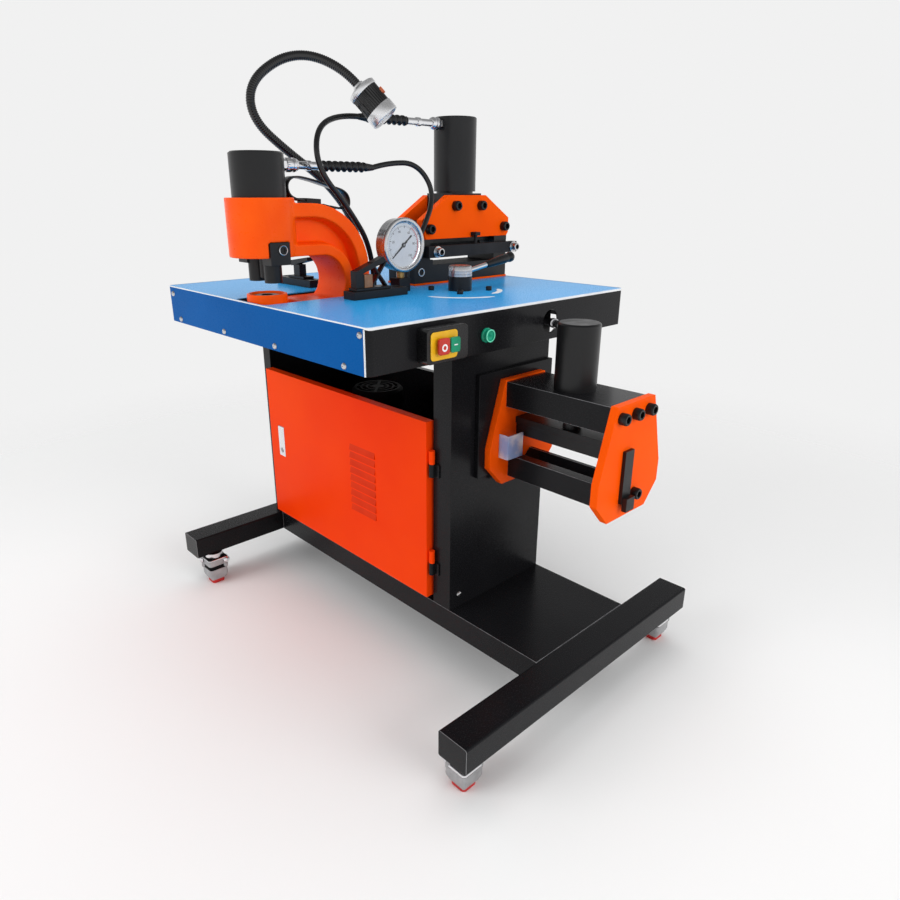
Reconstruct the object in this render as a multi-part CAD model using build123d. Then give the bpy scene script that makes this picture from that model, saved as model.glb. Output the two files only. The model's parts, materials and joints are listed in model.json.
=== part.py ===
# Busbar processing machine: a stand on four levelling casters, a cabinet with the pump,
# a sheet table with a punching and a cutting station, and a bending station on its side.
# Millimetres, Z up, X along the stand, Y along the foot bars, door side at -Y.
import os
from math import cos, radians, sin, tan

from build123d import *

# Stand
foot_length = 700.0
foot_width = 65.0
foot_height = 52.0
foot_wall = 4.0
stud_hole = 12.0
stand_length = 1024.0
deck_front = -97.0
deck_back = 191.0
deck_sheet = 4.0

# Casters
caster_height = 86.0
caster_inner = 14.0
caster_front = 48.0
caster_back = 26.0
housing_size = 46.0
housing_top = 72.0
ear_reach = 31.0
pad_size = 34.0
pad_height = 22.0
pad_shown = 12.0
pad_stem = 14.0
wheel_diameter = 28.0
wheel_width = 16.0
wheel_lift = 7.0
wheel_trail = 46.0
wheel_turn = 138.0
axle_diameter = 8.0

# Cabinet
cabinet_height = 626.0
cabinet_left = -478.5
cabinet_right = 215.0
left_flange = 31.5
right_flange = 50.0
cabinet_sheet = 3.0
door_height = 395.0
door_depth = 20.0
door_proud = 15.0
door_sheet = 2.0
door_lift = 14.0
hinge_barrel = 12.0
hinge_pin = 6.0
hinge_rises = (85.0, 308.0)
knuckle_length = 28.0
lock_width = 27.0
lock_height = 81.0
lock_thickness = 10.0
lock_left = -407.0
lock_rise = 185.0
louvre_count = 9
louvre_width = 90.0
louvre_left = -96.0
louvre_rise = 136.0
louvre_pitch = 18.5
louvre_proud = 2.5

# Table
table_left = -482.0
table_right = 254.0
table_front = -322.0
table_back = 395.0
pan_depth = 74.0
pan_sheet = 3.0
cover_sheet = 2.0
pan_corner = 10.0
well_gap = 8.0

# Punching station
punch_x = -120.0
punch_y = -276.0
collar_diameter = 128.0
collar_height = 106.0
frame_width = 100.0
frame_back = -60.0
frame_arc = 133.0
throat_radius = 52.0
throat_reach = 102.0
throat_top = 83.0
frame_top = 179.0
foot_depth = 77.0
outer_rim = 25.0
throat_rim = 20.0
web_recess = 30.0
jaw_diameter = 78.0
jaw_top = 14.0
jaw_wall = 6.0
punch_cylinder_diameter = 100.0
punch_cylinder_height = 79.0
punch_outlet_rise = 247.0
spigot_diameter = 80.0
piston_diameter = 56.0
punch_diameter = 20.0
punch_stroke = 28.0
stripper_diameter = 34.0
stripper_offset = 29.0
stripper_drop = 47.0
stripper_foot = 42.0
strap_width = 28.0
strap_thickness = 4.0

# Cutting station
cutter_x = -133.0
cutter_y = 250.0
plate_gap = 54.0
plate_thickness = 18.0
plate_length = 290.0
plate_top_length = 122.0
plate_bottom = 99.0
plate_height = 94.0
sole_thickness = 4.0
die_top = 43.0
upright_width = 45.0
cutter_cylinder_diameter = 98.0
cutter_cylinder_height = 158.0
cutter_outlet_rise = 343.0
cutter_ram = 50.0
blade_stroke = 36.0
clamp_height = 25.0
clamp_thickness = 18.0
clamp_bottom = 60.0
clamp_overhang = 13.0
cutter_bolt_head = 22.0
cutter_bolt_length = 15.0

# Hoses and couplers
hose_diameter = 11.0
sleeve_diameter = 21.0
sleeve_ribs = 7
coupler_ring = 26.0
coupler_pipe = 15.0
punch_coupler = 97.0
punch_rings = 40.0
punch_sleeve = 128.0
cutter_coupler = 105.0
cutter_rings = 32.0
cutter_sleeve = 127.0
bender_rings = 28.0
bender_entry = 6.0

# Pressure gauge
gauge_x = -30.0
gauge_y = 5.0
gauge_rise = 95.0
gauge_diameter = 108.0
gauge_depth = 35.0
gauge_dial_diameter = 94.0
gauge_pivot = 3.0

# Control valve
valve_x = 32.0
valve_y = 106.0
valve_diameter = 51.0
valve_base = 30.0
valve_cap = 22.0
valve_spigot = 20.0
lever_rod = 11.0
lever_reach = 85.0
grip_length = 88.0
grip_diameter = 23.0
valve_bolt_square = 88.0
manifold_height = 26.0

# Switch and pilot lamp
switch_y = -170.0
switch_width = 96.0
switch_height = 60.0
switch_depth = 25.0
switch_drop = 42.0
button_travel = 4.0
stop_button_size = (25.0, 28.0)
start_button_size = (22.0, 26.0)
pilot_y = -49.0
pilot_diameter = 27.0
pilot_drop = 46.0

# Work lamp
lamp_x = -200.0
lamp_y = 25.0
neck_diameter = 18.0
lamp_diameter = 60.0
lamp_length = 78.0
lamp_button_turn = 40.0

# Bending station
bender_y = 88.0
bender_drop = 147.0
bender_height = 220.0
bender_side = 15.0
bender_inside = 238.0
bender_mount_depth = 11.0
bender_mount_front = 120.0
bender_wide = 202.0
bender_crown = 121.0
bender_base = 126.0
bender_ram = 36.0
bender_cylinder_diameter = 80.0
bender_cylinder_height = 125.0
bender_outlet_drop = 43.0
bender_outlet_turn = 156.0
bender_bolt_head = 20.0
bender_bolt_length = 16.0
bend_block_height = 51.0
bend_stroke = 40.0
bend_die_height = 46.0
bend_gap = 42.0
bend_slot_y = -18.0
bend_slot_rise = 30.0
bend_slot_width = 20.0
bend_slot_length = 102.0

# Pump set
motor_x = -175.0
motor_y = 35.0
motor_diameter = 124.0
motor_rise = 389.0
tank_height = 160.0
tank_length = 300.0
tank_width = 200.0
tank_sheet = 3.0
tank_lid = 6.0
shaft_diameter = 14.0

# Positioning stops
rail_width = 36.0
rail_height = 16.0
rail_length = 137.0
rail_slot = 8.0
front_rail_corner = (-30.0, -158.0)
rear_rail_corner = (-354.0, -113.0)

# Fits
running_fit = 0.05
sliding_gap = 0.3
seat_gap = 0.2

# Levels that follow from the sizes above
deck_z = caster_height + foot_height
pan_z = deck_z + cabinet_height
table_z = pan_z + pan_sheet + cover_sheet
pan_bottom = pan_z + pan_sheet - pan_depth - pan_sheet
door_front = deck_front - door_proud
plate_front = cutter_x + plate_gap / 2 + plate_thickness
clamp_end = cutter_y + plate_length / 2 + clamp_overhang
bender_x = cabinet_right + bender_mount_depth
bender_top = table_z - bender_drop
bender_bottom = bender_top - bender_height
bend_slot_low = bender_bottom + bend_slot_rise
bend_slot_high = bend_slot_low + bend_slot_length
bend_die_low = bender_bottom + 14
bend_die_top = bend_die_low + bend_die_height
hinge_heights = [deck_z + rise for rise in hinge_rises]
lock_bottom = deck_z + lock_rise
motor_top = deck_z + motor_rise
wheel_z = wheel_lift + wheel_diameter / 2
y_shift = -(clamp_end - foot_length / 2) / 2


def slab(x, y, z):
    middle = ((x[0] + x[1]) / 2, (y[0] + y[1]) / 2, (z[0] + z[1]) / 2)
    return Pos(*middle) * Box(x[1] - x[0], y[1] - y[0], z[1] - z[0])


def rod(start, direction, length, diameter):
    return extrude(Plane(start, z_dir=direction) * Circle(diameter / 2), length)


def side_plane(x):
    return Plane((x, 0, 0), x_dir=(0, 1, 0), z_dir=(1, 0, 0))


def across_x(points, x):
    return extrude(side_plane(x[0]) * Polygon(*points, align=None), x[1] - x[0], dir=(1, 0, 0))


def across_y(points, y):
    plane = Plane((0, y[1], 0), x_dir=(1, 0, 0), z_dir=(0, -1, 0))
    return extrude(plane * Polygon(*points, align=None), y[1] - y[0], dir=(0, -1, 0))


def turned(points, origin, direction):
    solid = revolve(Plane.XZ * Polygon(*points, align=None), Axis.Z)
    return Plane(origin, z_dir=direction).location * solid


def base_frame():
    middle = stand_length / 2 - foot_width / 2
    inner = stand_length / 2 - foot_width
    frame = None
    for x in (-middle, middle):
        plane = Plane((x, -foot_length / 2, caster_height + foot_height / 2), x_dir=(1, 0, 0), z_dir=(0, 1, 0))
        bar = extrude(plane * RectangleRounded(foot_width, foot_height, 4), foot_length)
        frame = bar if frame is None else frame + bar
    inner_tube = (foot_width / 2 - foot_wall, foot_length / 2 - foot_wall)
    tube_z = (caster_height + foot_wall, deck_z - foot_wall)
    t = deck_sheet
    channel = [
        (deck_front, caster_height),
        (deck_front, deck_z),
        (deck_back, deck_z),
        (deck_back, caster_height),
        (deck_back - t, caster_height),
        (deck_back - t, deck_z - t),
        (deck_front + t, deck_z - t),
        (deck_front + t, caster_height),
    ]
    frame += across_x(channel, (-inner - 1, inner + 1))
    # the bars are tubes with closed ends, drilled for the caster studs
    for x in (-middle, middle):
        frame -= slab((x - inner_tube[0], x + inner_tube[0]), (-inner_tube[1], inner_tube[1]), tube_z)
    for x, y in caster_places():
        frame -= rod((x, y, caster_height - 1), (0, 0, 1), foot_wall + 2, stud_hole)
    return frame


def caster_places():
    x = stand_length / 2 - foot_width + caster_inner
    front = -foot_length / 2 + caster_front
    back = foot_length / 2 - caster_back
    return [(x, front), (-x, front), (x, back), (-x, back)]


def caster_body(x, y):
    # square housing over the pad, with a stud into the bar above
    waist = 40.0
    foot = 24.0
    body = Pos(0, 0, foot) * extrude(RectangleRounded(housing_size, housing_size, 7), pad_shown - foot, taper=16)
    levels = ((foot, waist - 5, housing_size), (waist - 5, waist, housing_size - 5), (waist, housing_top, housing_size + 2))
    for low, high, size in levels:
        body += Pos(0, 0, low) * extrude(RectangleRounded(size, size, 7), high - low)
    body += rod((0, 0, housing_top), (0, 0, 1), caster_height - housing_top, 44)
    body += rod((0, 0, caster_height), (0, 0, 1), foot_wall + 6, stud_hole - 2 * seat_gap)
    # yoke: two ears across, two cheeks to the wheel, one axle
    r = ear_reach
    ears = [(-r, 52), (-r + 7, 44), (r - 7, 44), (r, 52), (r, housing_top), (-r, housing_top)]
    yoke = across_x(ears, (-9, 9))
    t = wheel_trail
    cheek = [(12, 46), (30, 42), (t - 9, wheel_z + 2), (t - 6, wheel_z - 7), (t + 5, wheel_z - 7), (t + 9, wheel_z - 2),
             (t + 9, wheel_z + 6), (34, 68), (12, 70)]
    inside = wheel_width / 2 + 1.5
    for side in (-1, 1):
        yoke += across_y(cheek, sorted((side * inside, side * (inside + 4))))
    yoke += rod((t, -inside - 4, wheel_z), (0, 1, 0), 2 * inside + 8, axle_diameter)
    body += Rot(0, 0, wheel_turn) * yoke
    pocket = pad_size + 2 * seat_gap
    body -= extrude(RectangleRounded(pocket, pocket, 8), pad_shown + 22)
    body -= rod((0, 0, pad_shown), (0, 0, 1), 58, pad_stem + 2 * running_fit)
    return Pos(x, y, 0) * body


def caster_wheel(x, y):
    turn = radians(wheel_turn)
    bore = axle_diameter / 2 + running_fit
    rim = wheel_diameter / 2
    half = wheel_width / 2
    profile = [(bore, -half), (rim - 3, -half), (rim, -half + 3), (rim, half - 3), (rim - 3, half), (bore, half)]
    middle = (x + wheel_trail * cos(turn), y + wheel_trail * sin(turn), wheel_z)
    return turned(profile, middle, (-sin(turn), cos(turn), 0))


def caster_pad(x, y):
    pad = extrude(RectangleRounded(pad_size, pad_size, 8), pad_height)
    pad = fillet(pad.edges().group_by(Axis.Z)[0], 3)
    return Pos(x, y, 0) * (pad + rod((0, 0, pad_height), (0, 0, 1), 40, pad_stem))


def folded_side(edge, flange):
    # side sheet with one flange folded in at the front and one at the back
    way = 1 if flange > 0 else -1
    t = cabinet_sheet
    points = [
        (edge + flange, deck_front),
        (edge, deck_front),
        (edge, deck_back),
        (edge + flange, deck_back),
        (edge + flange, deck_back - t),
        (edge + way * t, deck_back - t),
        (edge + way * t, deck_front + t),
        (edge + flange, deck_front + t),
    ]
    return Pos(0, 0, deck_z) * extrude(Polygon(*points, align=None), cabinet_height, dir=(0, 0, 1))


def cabinet_panels():
    left = folded_side(cabinet_left, left_flange)
    right = folded_side(cabinet_right, -right_flange)
    right -= rod((cabinet_right - 5, deck_front + 27, deck_z + 30), (1, 0, 0), 10, 5)
    inside = deck_back - cabinet_sheet
    back_left = cabinet_left + left_flange - 20
    back_right = cabinet_right - right_flange + 20
    back = slab((back_left, back_right), (inside - 2, inside), (deck_z, deck_z + door_height + door_lift))
    fold = slab((back_left, back_right), (inside - 16, inside - 2), (deck_z + door_height + door_lift - 2,
                                                                    deck_z + door_height + door_lift))
    return [left, right, back + fold]


def door_limits():
    left = cabinet_left + left_flange + 2
    right = cabinet_right - right_flange - 5
    return left, right, deck_z + door_lift, deck_z + door_lift + door_height


def hinge_axis():
    return cabinet_right - right_flange + 3, deck_front - 7


def door():
    left, right, low, high = door_limits()
    t = door_sheet
    depth = (door_front, door_front + door_depth)
    sheet = slab((left, right), depth, (low, high))
    sheet -= slab((left + t, right - t), (door_front + t, depth[1] + 1), (low + t, high - t))
    lock_x = (lock_left - 0.4, lock_left + lock_width + 0.4)
    lock_z = (lock_bottom - 0.4, lock_bottom + lock_height + 0.4)
    sheet -= slab(lock_x, (door_front - 1, door_front + t + 1), lock_z)
    for row in range(louvre_count):
        z = deck_z + louvre_rise + row * louvre_pitch
        f = door_front
        out = f - louvre_proud
        span = (louvre_left, louvre_left + louvre_width)
        hood = across_x([(f + 1, z + 14), (f, z + 14), (out, z + 1), (out, z), (f + 1, z)], span)
        slot = across_x([(f + 4, z + 12), (f + 1.6, z + 12), (out + 1.2, z), (out + 1.2, z - 1), (f + 4, z - 1)],
                        (span[0] + 1.6, span[1] - 1.6))
        sheet = sheet + hood - slot
    hx, hy = hinge_axis()
    for z in hinge_heights:
        start = z + knuckle_length / 2 + seat_gap
        barrel = rod((hx, hy, start), (0, 0, 1), knuckle_length, hinge_barrel)
        web = slab((right - t, hx), (hy - 1.5, hy + 1.5), (start, start + knuckle_length))
        sheet = sheet + barrel + web
        sheet -= rod((hx, hy, start - 1), (0, 0, 1), knuckle_length - 4, hinge_pin + 2 * running_fit)
    case = slab((lock_x[0] - 4, lock_x[1] + 4), (door_front + t, door_front + t + 20), (lock_z[0] - 4, lock_z[1] + 4))
    case -= slab(lock_x, (door_front, door_front + t + 17), lock_z)
    pin_y, pin_z = lock_pivot()
    case -= rod((lock_x[0] - 5, pin_y, pin_z), (1, 0, 0), lock_width + 12, 3 + 2 * running_fit)
    return [sheet, case]


def lock_pivot():
    return door_front - 1 + lock_thickness / 2, lock_bottom + lock_height - lock_thickness / 2


def lock_handle():
    y = (door_front - 1, door_front - 1 + lock_thickness)
    pin_y, pin_z = lock_pivot()
    x = (lock_left, lock_left + lock_width)
    body = slab(x, y, (lock_bottom, pin_z))
    body += rod((x[0], pin_y, pin_z), (1, 0, 0), lock_width, lock_thickness)
    body += rod((x[0] - 4, pin_y, pin_z), (1, 0, 0), lock_width + 8, 3)
    key = rod((x[0] + lock_width / 2, y[0] - 1, lock_bottom + 16), (0, 1, 0), 6, 13)
    return body - key


def door_hinges():
    hx, hy = hinge_axis()
    halves = []
    for z in hinge_heights:
        low = z - knuckle_length / 2
        half = rod((hx, hy, low), (0, 0, 1), knuckle_length, hinge_barrel)
        half += slab((hx, hx + 16), (deck_front - 3, deck_front), (low, low + knuckle_length))
        half += slab((hx - 1, hx + 5), (hy, deck_front), (low, low + knuckle_length))
        half += rod((hx, hy, low), (0, 0, 1), 2 * knuckle_length - 6, hinge_pin)
        halves.append(half)
    return halves


def well_limits():
    half = frame_width / 2 + well_gap
    return (punch_x - half, punch_x + half), (punch_y - jaw_diameter / 2 - 1, frame_back + well_gap)


def table_holes(low, high):
    # openings through the table sheet for what stands in or passes it
    x, y = well_limits()
    tall = high - low
    middle = Pos((x[0] + x[1]) / 2, (y[0] + y[1]) / 2, low)
    holes = [middle * extrude(RectangleRounded(x[1] - x[0], y[1] - y[0], 12), tall)]
    holes.append(rod((valve_x, valve_y, low), (0, 0, 1), tall, 30))
    for route in (punch_route(), cutter_route()):
        holes.append(rod((route[-1][0], route[-1][1], low), (0, 0, 1), tall, hose_diameter + 2 * seat_gap))
    holes.append(rod((gauge_x - 18, gauge_y, low), (0, 0, 1), tall, 12))
    holes.append(rod((lamp_x, lamp_y, low), (0, 0, 1), tall, 12))
    return holes


def table_pan():
    size_x = table_right - table_left
    front = table_front + cover_sheet
    size_y = table_back - front
    middle = Pos((table_left + table_right) / 2, (front + table_back) / 2, pan_bottom)
    tall = table_z - cover_sheet - pan_bottom
    outer = extrude(RectangleRounded(size_x, size_y, pan_corner), tall)
    t = pan_sheet
    inner = extrude(RectangleRounded(size_x - 2 * t, size_y - 2 * t, pan_corner - t), tall - t)
    pan = middle * (outer - inner)
    for hole in table_holes(pan_z - 1, table_z + 1):
        pan -= hole
    entry = bender_entry_point()
    pan -= rod((table_right - 8, entry[1], entry[2]), (1, 0, 0), 16, 46)
    pan -= rod((table_right - 8, pilot_y, table_z - pilot_drop), (1, 0, 0), 16, 12)
    return pan


def table_top():
    size_x = table_right - table_left
    size_y = table_back - table_front
    middle = Pos((table_left + table_right) / 2, (table_front + table_back) / 2, table_z - cover_sheet)
    sheet = middle * extrude(RectangleRounded(size_x, size_y, pan_corner), cover_sheet)
    for hole in table_holes(pan_z - 1, table_z + 1):
        sheet -= hole
    return sheet


def front_cover():
    depth = (table_front, table_front + cover_sheet)
    return slab((table_left + pan_corner, table_right - pan_corner), depth, (pan_bottom, table_z - cover_sheet))


def punch_frame():
    x = (punch_x - frame_width / 2, punch_x + frame_width / 2)
    top = table_z + frame_top
    under = table_z + throat_top
    middle_z = under - throat_radius
    middle_y = punch_y + throat_reach
    arm_top = middle_z - throat_radius
    foot = table_z - foot_depth
    arc_y = frame_back - frame_arc
    arc_z = top - frame_arc
    bend = frame_arc * cos(radians(45))
    edges = [
        Line((punch_y, top), (arc_y, top)),
        ThreePointArc((arc_y, top), (arc_y + bend, arc_z + bend), (frame_back, arc_z)),
        Line((frame_back, arc_z), (frame_back, foot)),
        Line((frame_back, foot), (punch_y, foot)),
        Line((punch_y, foot), (punch_y, arm_top)),
        Line((punch_y, arm_top), (middle_y, arm_top)),
        ThreePointArc((middle_y, arm_top), (middle_y + throat_radius, middle_z), (middle_y, under)),
        Line((middle_y, under), (punch_y, under)),
        Line((punch_y, under), (punch_y, top)),
    ]
    frame = extrude(side_plane(x[0]) * make_face(edges), frame_width)
    outer = frame_arc - outer_rim
    inner = throat_radius + throat_rim
    hook = outer * cos(radians(45))
    start = punch_y + 40
    bottom = foot + 28
    recess = [
        Line((start, arc_z + outer), (arc_y, arc_z + outer)),
        ThreePointArc((arc_y, arc_z + outer), (arc_y + hook, arc_z + hook), (arc_y + outer, arc_z)),
        Line((arc_y + outer, arc_z), (arc_y + outer, bottom)),
        Line((arc_y + outer, bottom), (middle_y + inner, bottom)),
        Line((middle_y + inner, bottom), (middle_y + inner, middle_z)),
        ThreePointArc(
            (middle_y + inner, middle_z),
            (middle_y + inner * cos(radians(45)), middle_z + inner * cos(radians(45))),
            (middle_y, middle_z + inner),
        ),
        Line((middle_y, middle_z + inner), (start, middle_z + inner)),
        Line((start, middle_z + inner), (start, arc_z + outer)),
    ]
    pocket = make_face(edges=recess)
    frame -= extrude(side_plane(x[1]) * pocket, -web_recess, taper=8)
    frame -= extrude(side_plane(x[0]) * pocket, web_recess, taper=8)
    frame += rod((punch_x, punch_y, under), (0, 0, 1), collar_height, collar_diameter)
    jaw_high = table_z + jaw_top
    frame += rod((punch_x, punch_y, foot), (0, 0, 1), jaw_high - foot, jaw_diameter)
    ledge = slab((x[0] - 30, x[1] + 30), (punch_y + 60, frame_back), (pan_z - 12, pan_z))
    frame += ledge
    # bores, slug hole, die seat and the two notches that hold the strippers
    frame -= rod((punch_x, punch_y, under + 16), (0, 0, 1), collar_height, spigot_diameter + 2 * seat_gap)
    frame -= rod((punch_x, punch_y, under - 1), (0, 0, 1), 30, punch_diameter + 2 * running_fit)
    frame -= rod((punch_x, punch_y, jaw_high - 14), (0, 0, 1), 20, jaw_diameter - 2 * jaw_wall)
    frame -= rod((punch_x, punch_y, foot - 1), (0, 0, 1), jaw_high - foot, punch_diameter + 8)
    for side in (-1, 1):
        near = punch_x + side * (spigot_diameter / 2 + 2)
        far = punch_x + side * collar_diameter / 2 + side
        half = stripper_foot / 2 + sliding_gap
        notch = slab(sorted((near, far)), (punch_y - half, punch_y + half), (under - 1, under + 28 + sliding_gap))
        frame -= notch
    return frame


def punch_cylinder():
    low = table_z + throat_top + collar_height
    r = punch_cylinder_diameter / 2
    high = punch_cylinder_height
    profile = [
        (0, high), (r - 4, high), (r, high - 3), (r, 0), (spigot_diameter / 2, 0), (spigot_diameter / 2, -58),
        (piston_diameter / 2 + running_fit, -58), (piston_diameter / 2 + running_fit, high - 25), (0, high - 25),
    ]
    return turned(profile, (punch_x, punch_y, low), (0, 0, 1))


def punch_ram():
    under = table_z + throat_top
    low = under + 16 + punch_stroke + 9
    profile = [
        (0, under - 40), (punch_diameter / 2 - 1, under - 40), (punch_diameter / 2, under - 38),
        (punch_diameter / 2, low), (piston_diameter / 2, low), (piston_diameter / 2, low + 76), (0, low + 76),
    ]
    return turned(profile, (punch_x, punch_y, 0), (0, 0, 1))


def punch_strippers():
    under = table_z + throat_top
    feet = []
    for side in (-1, 1):
        post = rod((punch_x + side * stripper_offset, punch_y, under - stripper_drop), (0, 0, 1),
                   stripper_drop, stripper_diameter)
        inner = stripper_offset
        far = collar_diameter / 2 - 2
        step = spigot_diameter / 2 + 2 + sliding_gap
        points = [(inner, under - 13), (far, under - 13), (far, under + 28), (step, under + 28), (step, under),
                  (inner, under)]
        foot = across_y([(punch_x + side * x, z) for x, z in points],
                        (punch_y - stripper_foot / 2, punch_y + stripper_foot / 2))
        feet.append(post + foot)
    return feet


def punch_die():
    high = table_z + jaw_top
    r = jaw_diameter / 2 - jaw_wall - seat_gap
    bore = punch_diameter / 2 + 1
    profile = [(bore, high - 14), (r, high - 14), (r, high - 6), (r - 12, high - 3), (bore, high - 3)]
    return turned(profile, (punch_x, punch_y, 0), (0, 0, 1))


def carry_handle(frame):
    # strap loop over the frame's back, held by two clamp plates
    top = table_z + frame_top
    start = punch_y + 124
    points = [
        (start, top + 4), (start - 52, top + 7), (start - 70, top + 46), (start + 2, top + 38), (start + 68, top + 22),
        (start + 72, top - 12), (start + 28, top - 7),
    ]
    path = FilletPolyline(*points, radius=13)
    strap = extrude(side_plane(punch_x - strap_width / 2) * trace(path, strap_thickness), strap_width)
    wide = (punch_x - strap_width / 2 - 3, punch_x + strap_width / 2 + 3)
    near, far = start - 31, start + 2
    strap += across_x([(near, top - 4), (near, top + 9), (far, top + 7), (far, top - 12)], wide)
    near, far = start + 8, start + 36
    strap += across_x([(near, top - 16), (near, top - 2), (far, top - 8), (far, top - 34)], wide)
    return strap - frame


def sleeve_profile(length):
    # ribbed rubber sleeve with a tapered tail
    tail = hose_diameter / 2 + 1
    big = sleeve_diameter / 2
    pitch = (length - 18) / sleeve_ribs
    points = [(0, 0), (big - 2, 0)]
    for rib in range(sleeve_ribs):
        start = rib * pitch
        points += [(big - 2, start + 0.15 * pitch), (big, start + 0.35 * pitch), (big, start + 0.65 * pitch),
                   (big - 2, start + 0.85 * pitch)]
    points += [(big - 2, length - 16), (tail, length), (0, length)]
    return points


def coupler_profile(ring_end, length):
    ring = coupler_ring / 2
    pipe = coupler_pipe / 2
    groove = ring - 2
    mid = ring_end / 2
    return [
        (0, 0), (ring - 3, 0), (ring - 3, 4), (ring, 5), (ring, mid - 3), (groove, mid - 2), (groove, mid + 2),
        (ring, mid + 3), (ring, ring_end - 1), (ring - 1, ring_end), (pipe, ring_end), (pipe, length), (0, length),
    ]


def punch_outlet():
    return punch_x, punch_y + punch_cylinder_diameter / 2 - 4, table_z + punch_outlet_rise


def cutter_outlet():
    return cutter_x, cutter_y - cutter_cylinder_diameter / 2 + 4, table_z + cutter_outlet_rise


def bender_outlet():
    middle = bender_x + bender_side + bender_inside / 2
    turn = radians(bender_outlet_turn)
    direction = (cos(turn), sin(turn), 0)
    reach = bender_cylinder_diameter / 2 - 4
    start = (middle + reach * direction[0], bender_y + reach * direction[1], table_z - bender_outlet_drop)
    return start, direction


def bender_entry_point():
    # where the bender's coupler ends, just inside the table's skirt
    start, direction = bender_outlet()
    run = (start[0] - table_right + pan_sheet + bender_entry) / -direction[0]
    return start[0] + run * direction[0], start[1] + run * direction[1], start[2]


def hose_couplers():
    start, direction = bender_outlet()
    middle = sum(bender_span()) / 2
    first = turned(coupler_profile(punch_rings, punch_coupler), punch_outlet(), (0, 1, 0))
    first -= rod((punch_x, punch_y, table_z), (0, 0, 1), 400, punch_cylinder_diameter)
    second = turned(coupler_profile(cutter_rings, cutter_coupler), cutter_outlet(), (0, -1, 0))
    second -= rod((cutter_x, cutter_y, table_z), (0, 0, 1), 400, cutter_cylinder_diameter)
    run = (start[0] - bender_entry_point()[0]) / -direction[0]
    third = turned(coupler_profile(bender_rings, run), start, direction)
    third -= rod((middle, bender_y, bender_top), (0, 0, 1), 400, bender_cylinder_diameter)
    return [first, second, third]


def punch_route():
    x, y, z = punch_outlet()
    y += punch_coupler + punch_sleeve
    return [
        (x, y, z), (x, y + 39, z + 10), (x + 14, y + 113, z + 12), (x + 34, y + 149, z - 52), (x + 42, y + 99, z - 136),
        (x + 40, y + 55, z - 186), (x + 40, y + 55, pan_z),
    ]


def cutter_route():
    x, y, z = cutter_outlet()
    y -= cutter_coupler + cutter_sleeve
    return [
        (x, y, z), (x, y - 54, z), (x + 33, y - 129, z - 32), (x + 48, y - 139, z - 103), (x + 39, y - 66, z - 171),
        (x + 24, y + 9, z - 262), (x + 24, y + 9, pan_z),
    ]


def hose_radii(points):
    # bend radius at each inner point: 0.45 of the shorter run over the tangent of half the turn
    radii = []
    for before, here, after in zip(points, points[1:], points[2:]):
        first = Vector(*here) - Vector(*before)
        second = Vector(*after) - Vector(*here)
        turn = radians(first.get_angle(second))
        radii.append(round(0.45 * min(first.length, second.length) / tan(turn / 2), 1))
    return radii


def hose(points, name):
    radii = hose_radii(points)
    path = FilletPolyline(*points, radius=radii)
    tube = sweep(Plane(path @ 0, z_dir=path % 0) * Circle(hose_diameter / 2), path)
    area = 3.14159 * hose_diameter ** 2 / 4
    print(name, "radii", radii, "volume share", round(tube.volume / (area * path.length), 4))
    return tube


def punch_hose():
    points = punch_route()
    x, y, z = points[0]
    sleeve = turned(sleeve_profile(punch_sleeve), (x, y - punch_sleeve, z), (0, 1, 0))
    return [hose(points, "punch_hose"), sleeve]


def cutter_hose():
    points = cutter_route()
    x, y, z = points[0]
    sleeve = turned(sleeve_profile(cutter_sleeve), (x, y + cutter_sleeve, z), (0, -1, 0))
    return [hose(points, "cutter_hose"), sleeve]


def cutter_outline():
    low = table_z + plate_bottom
    high = low + plate_height
    half = plate_length / 2
    crown = plate_top_length / 2
    return [
        (cutter_y - half + 12, low), (cutter_y - half, low + 36), (cutter_y - half, low + 42),
        (cutter_y - crown, high), (cutter_y + crown, high), (cutter_y + half, low + 42),
        (cutter_y + half, low + 8), (cutter_y + half - 6, low),
    ]


def cutter_bolts():
    low = table_z + plate_bottom
    reach = plate_length / 2 - 20
    return [(cutter_y - 42, low + 71), (cutter_y + 42, low + 71), (cutter_y - reach, low + 22), (cutter_y + reach, low + 22)]


def cutter_plates():
    plates = []
    notch_y = cutter_y + 18
    low = table_z + plate_bottom
    for side in (-1, 1):
        near = cutter_x + side * plate_gap / 2
        far = near + side * plate_thickness
        plate = across_x(cutter_outline(), sorted((near, far)))
        for y, z in cutter_bolts():
            plate -= rod((min(near, far) - 1, y, z), (1, 0, 0), plate_thickness + 2, 10.4)
        if side > 0:
            plate -= slab((near - 1, far + 1), (notch_y - 4, notch_y + 4), (low - 1, low + 9))
        plates.append(plate)
    reach = plate_length / 2 - 4
    wide = plate_gap / 2 + plate_thickness + 3
    sole = Pos(cutter_x, cutter_y - 15, table_z) * extrude(RectangleRounded(2 * wide, 2 * reach + 30, 3), sole_thickness)
    plates.append(sole)
    return plates


def cutter_die_block():
    low = table_z + sole_thickness
    floor = table_z + die_top
    high = table_z + plate_bottom
    half = plate_length / 2 - 6
    left = cutter_y - half - 30
    right = cutter_y + half
    outline = [
        (left, low), (right, low), (right, high), (right - upright_width, high), (right - upright_width, floor),
        (left + upright_width + 12, floor), (left + upright_width + 12, high), (left, high),
    ]
    wide = plate_gap / 2 + plate_thickness
    block = across_x(outline, (cutter_x - wide, cutter_x + wide))
    tongue = plate_gap / 2
    for y0, y1 in ((cutter_y - half + 4, left + upright_width + 12), (right - upright_width, right - 4)):
        block += slab((cutter_x - tongue, cutter_x + tongue), (y0, y1), (high - 1, high + 38))
    for y in clamp_screws():
        middle = table_z + clamp_bottom + clamp_height / 2
        slot = slab((plate_front - 26, plate_front + 1), (y - 5.3, y + 5.3), (middle - 18, middle + 18))
        block -= slot
    return block


def clamp_screws():
    return cutter_y - 115, clamp_end - 14


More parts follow.
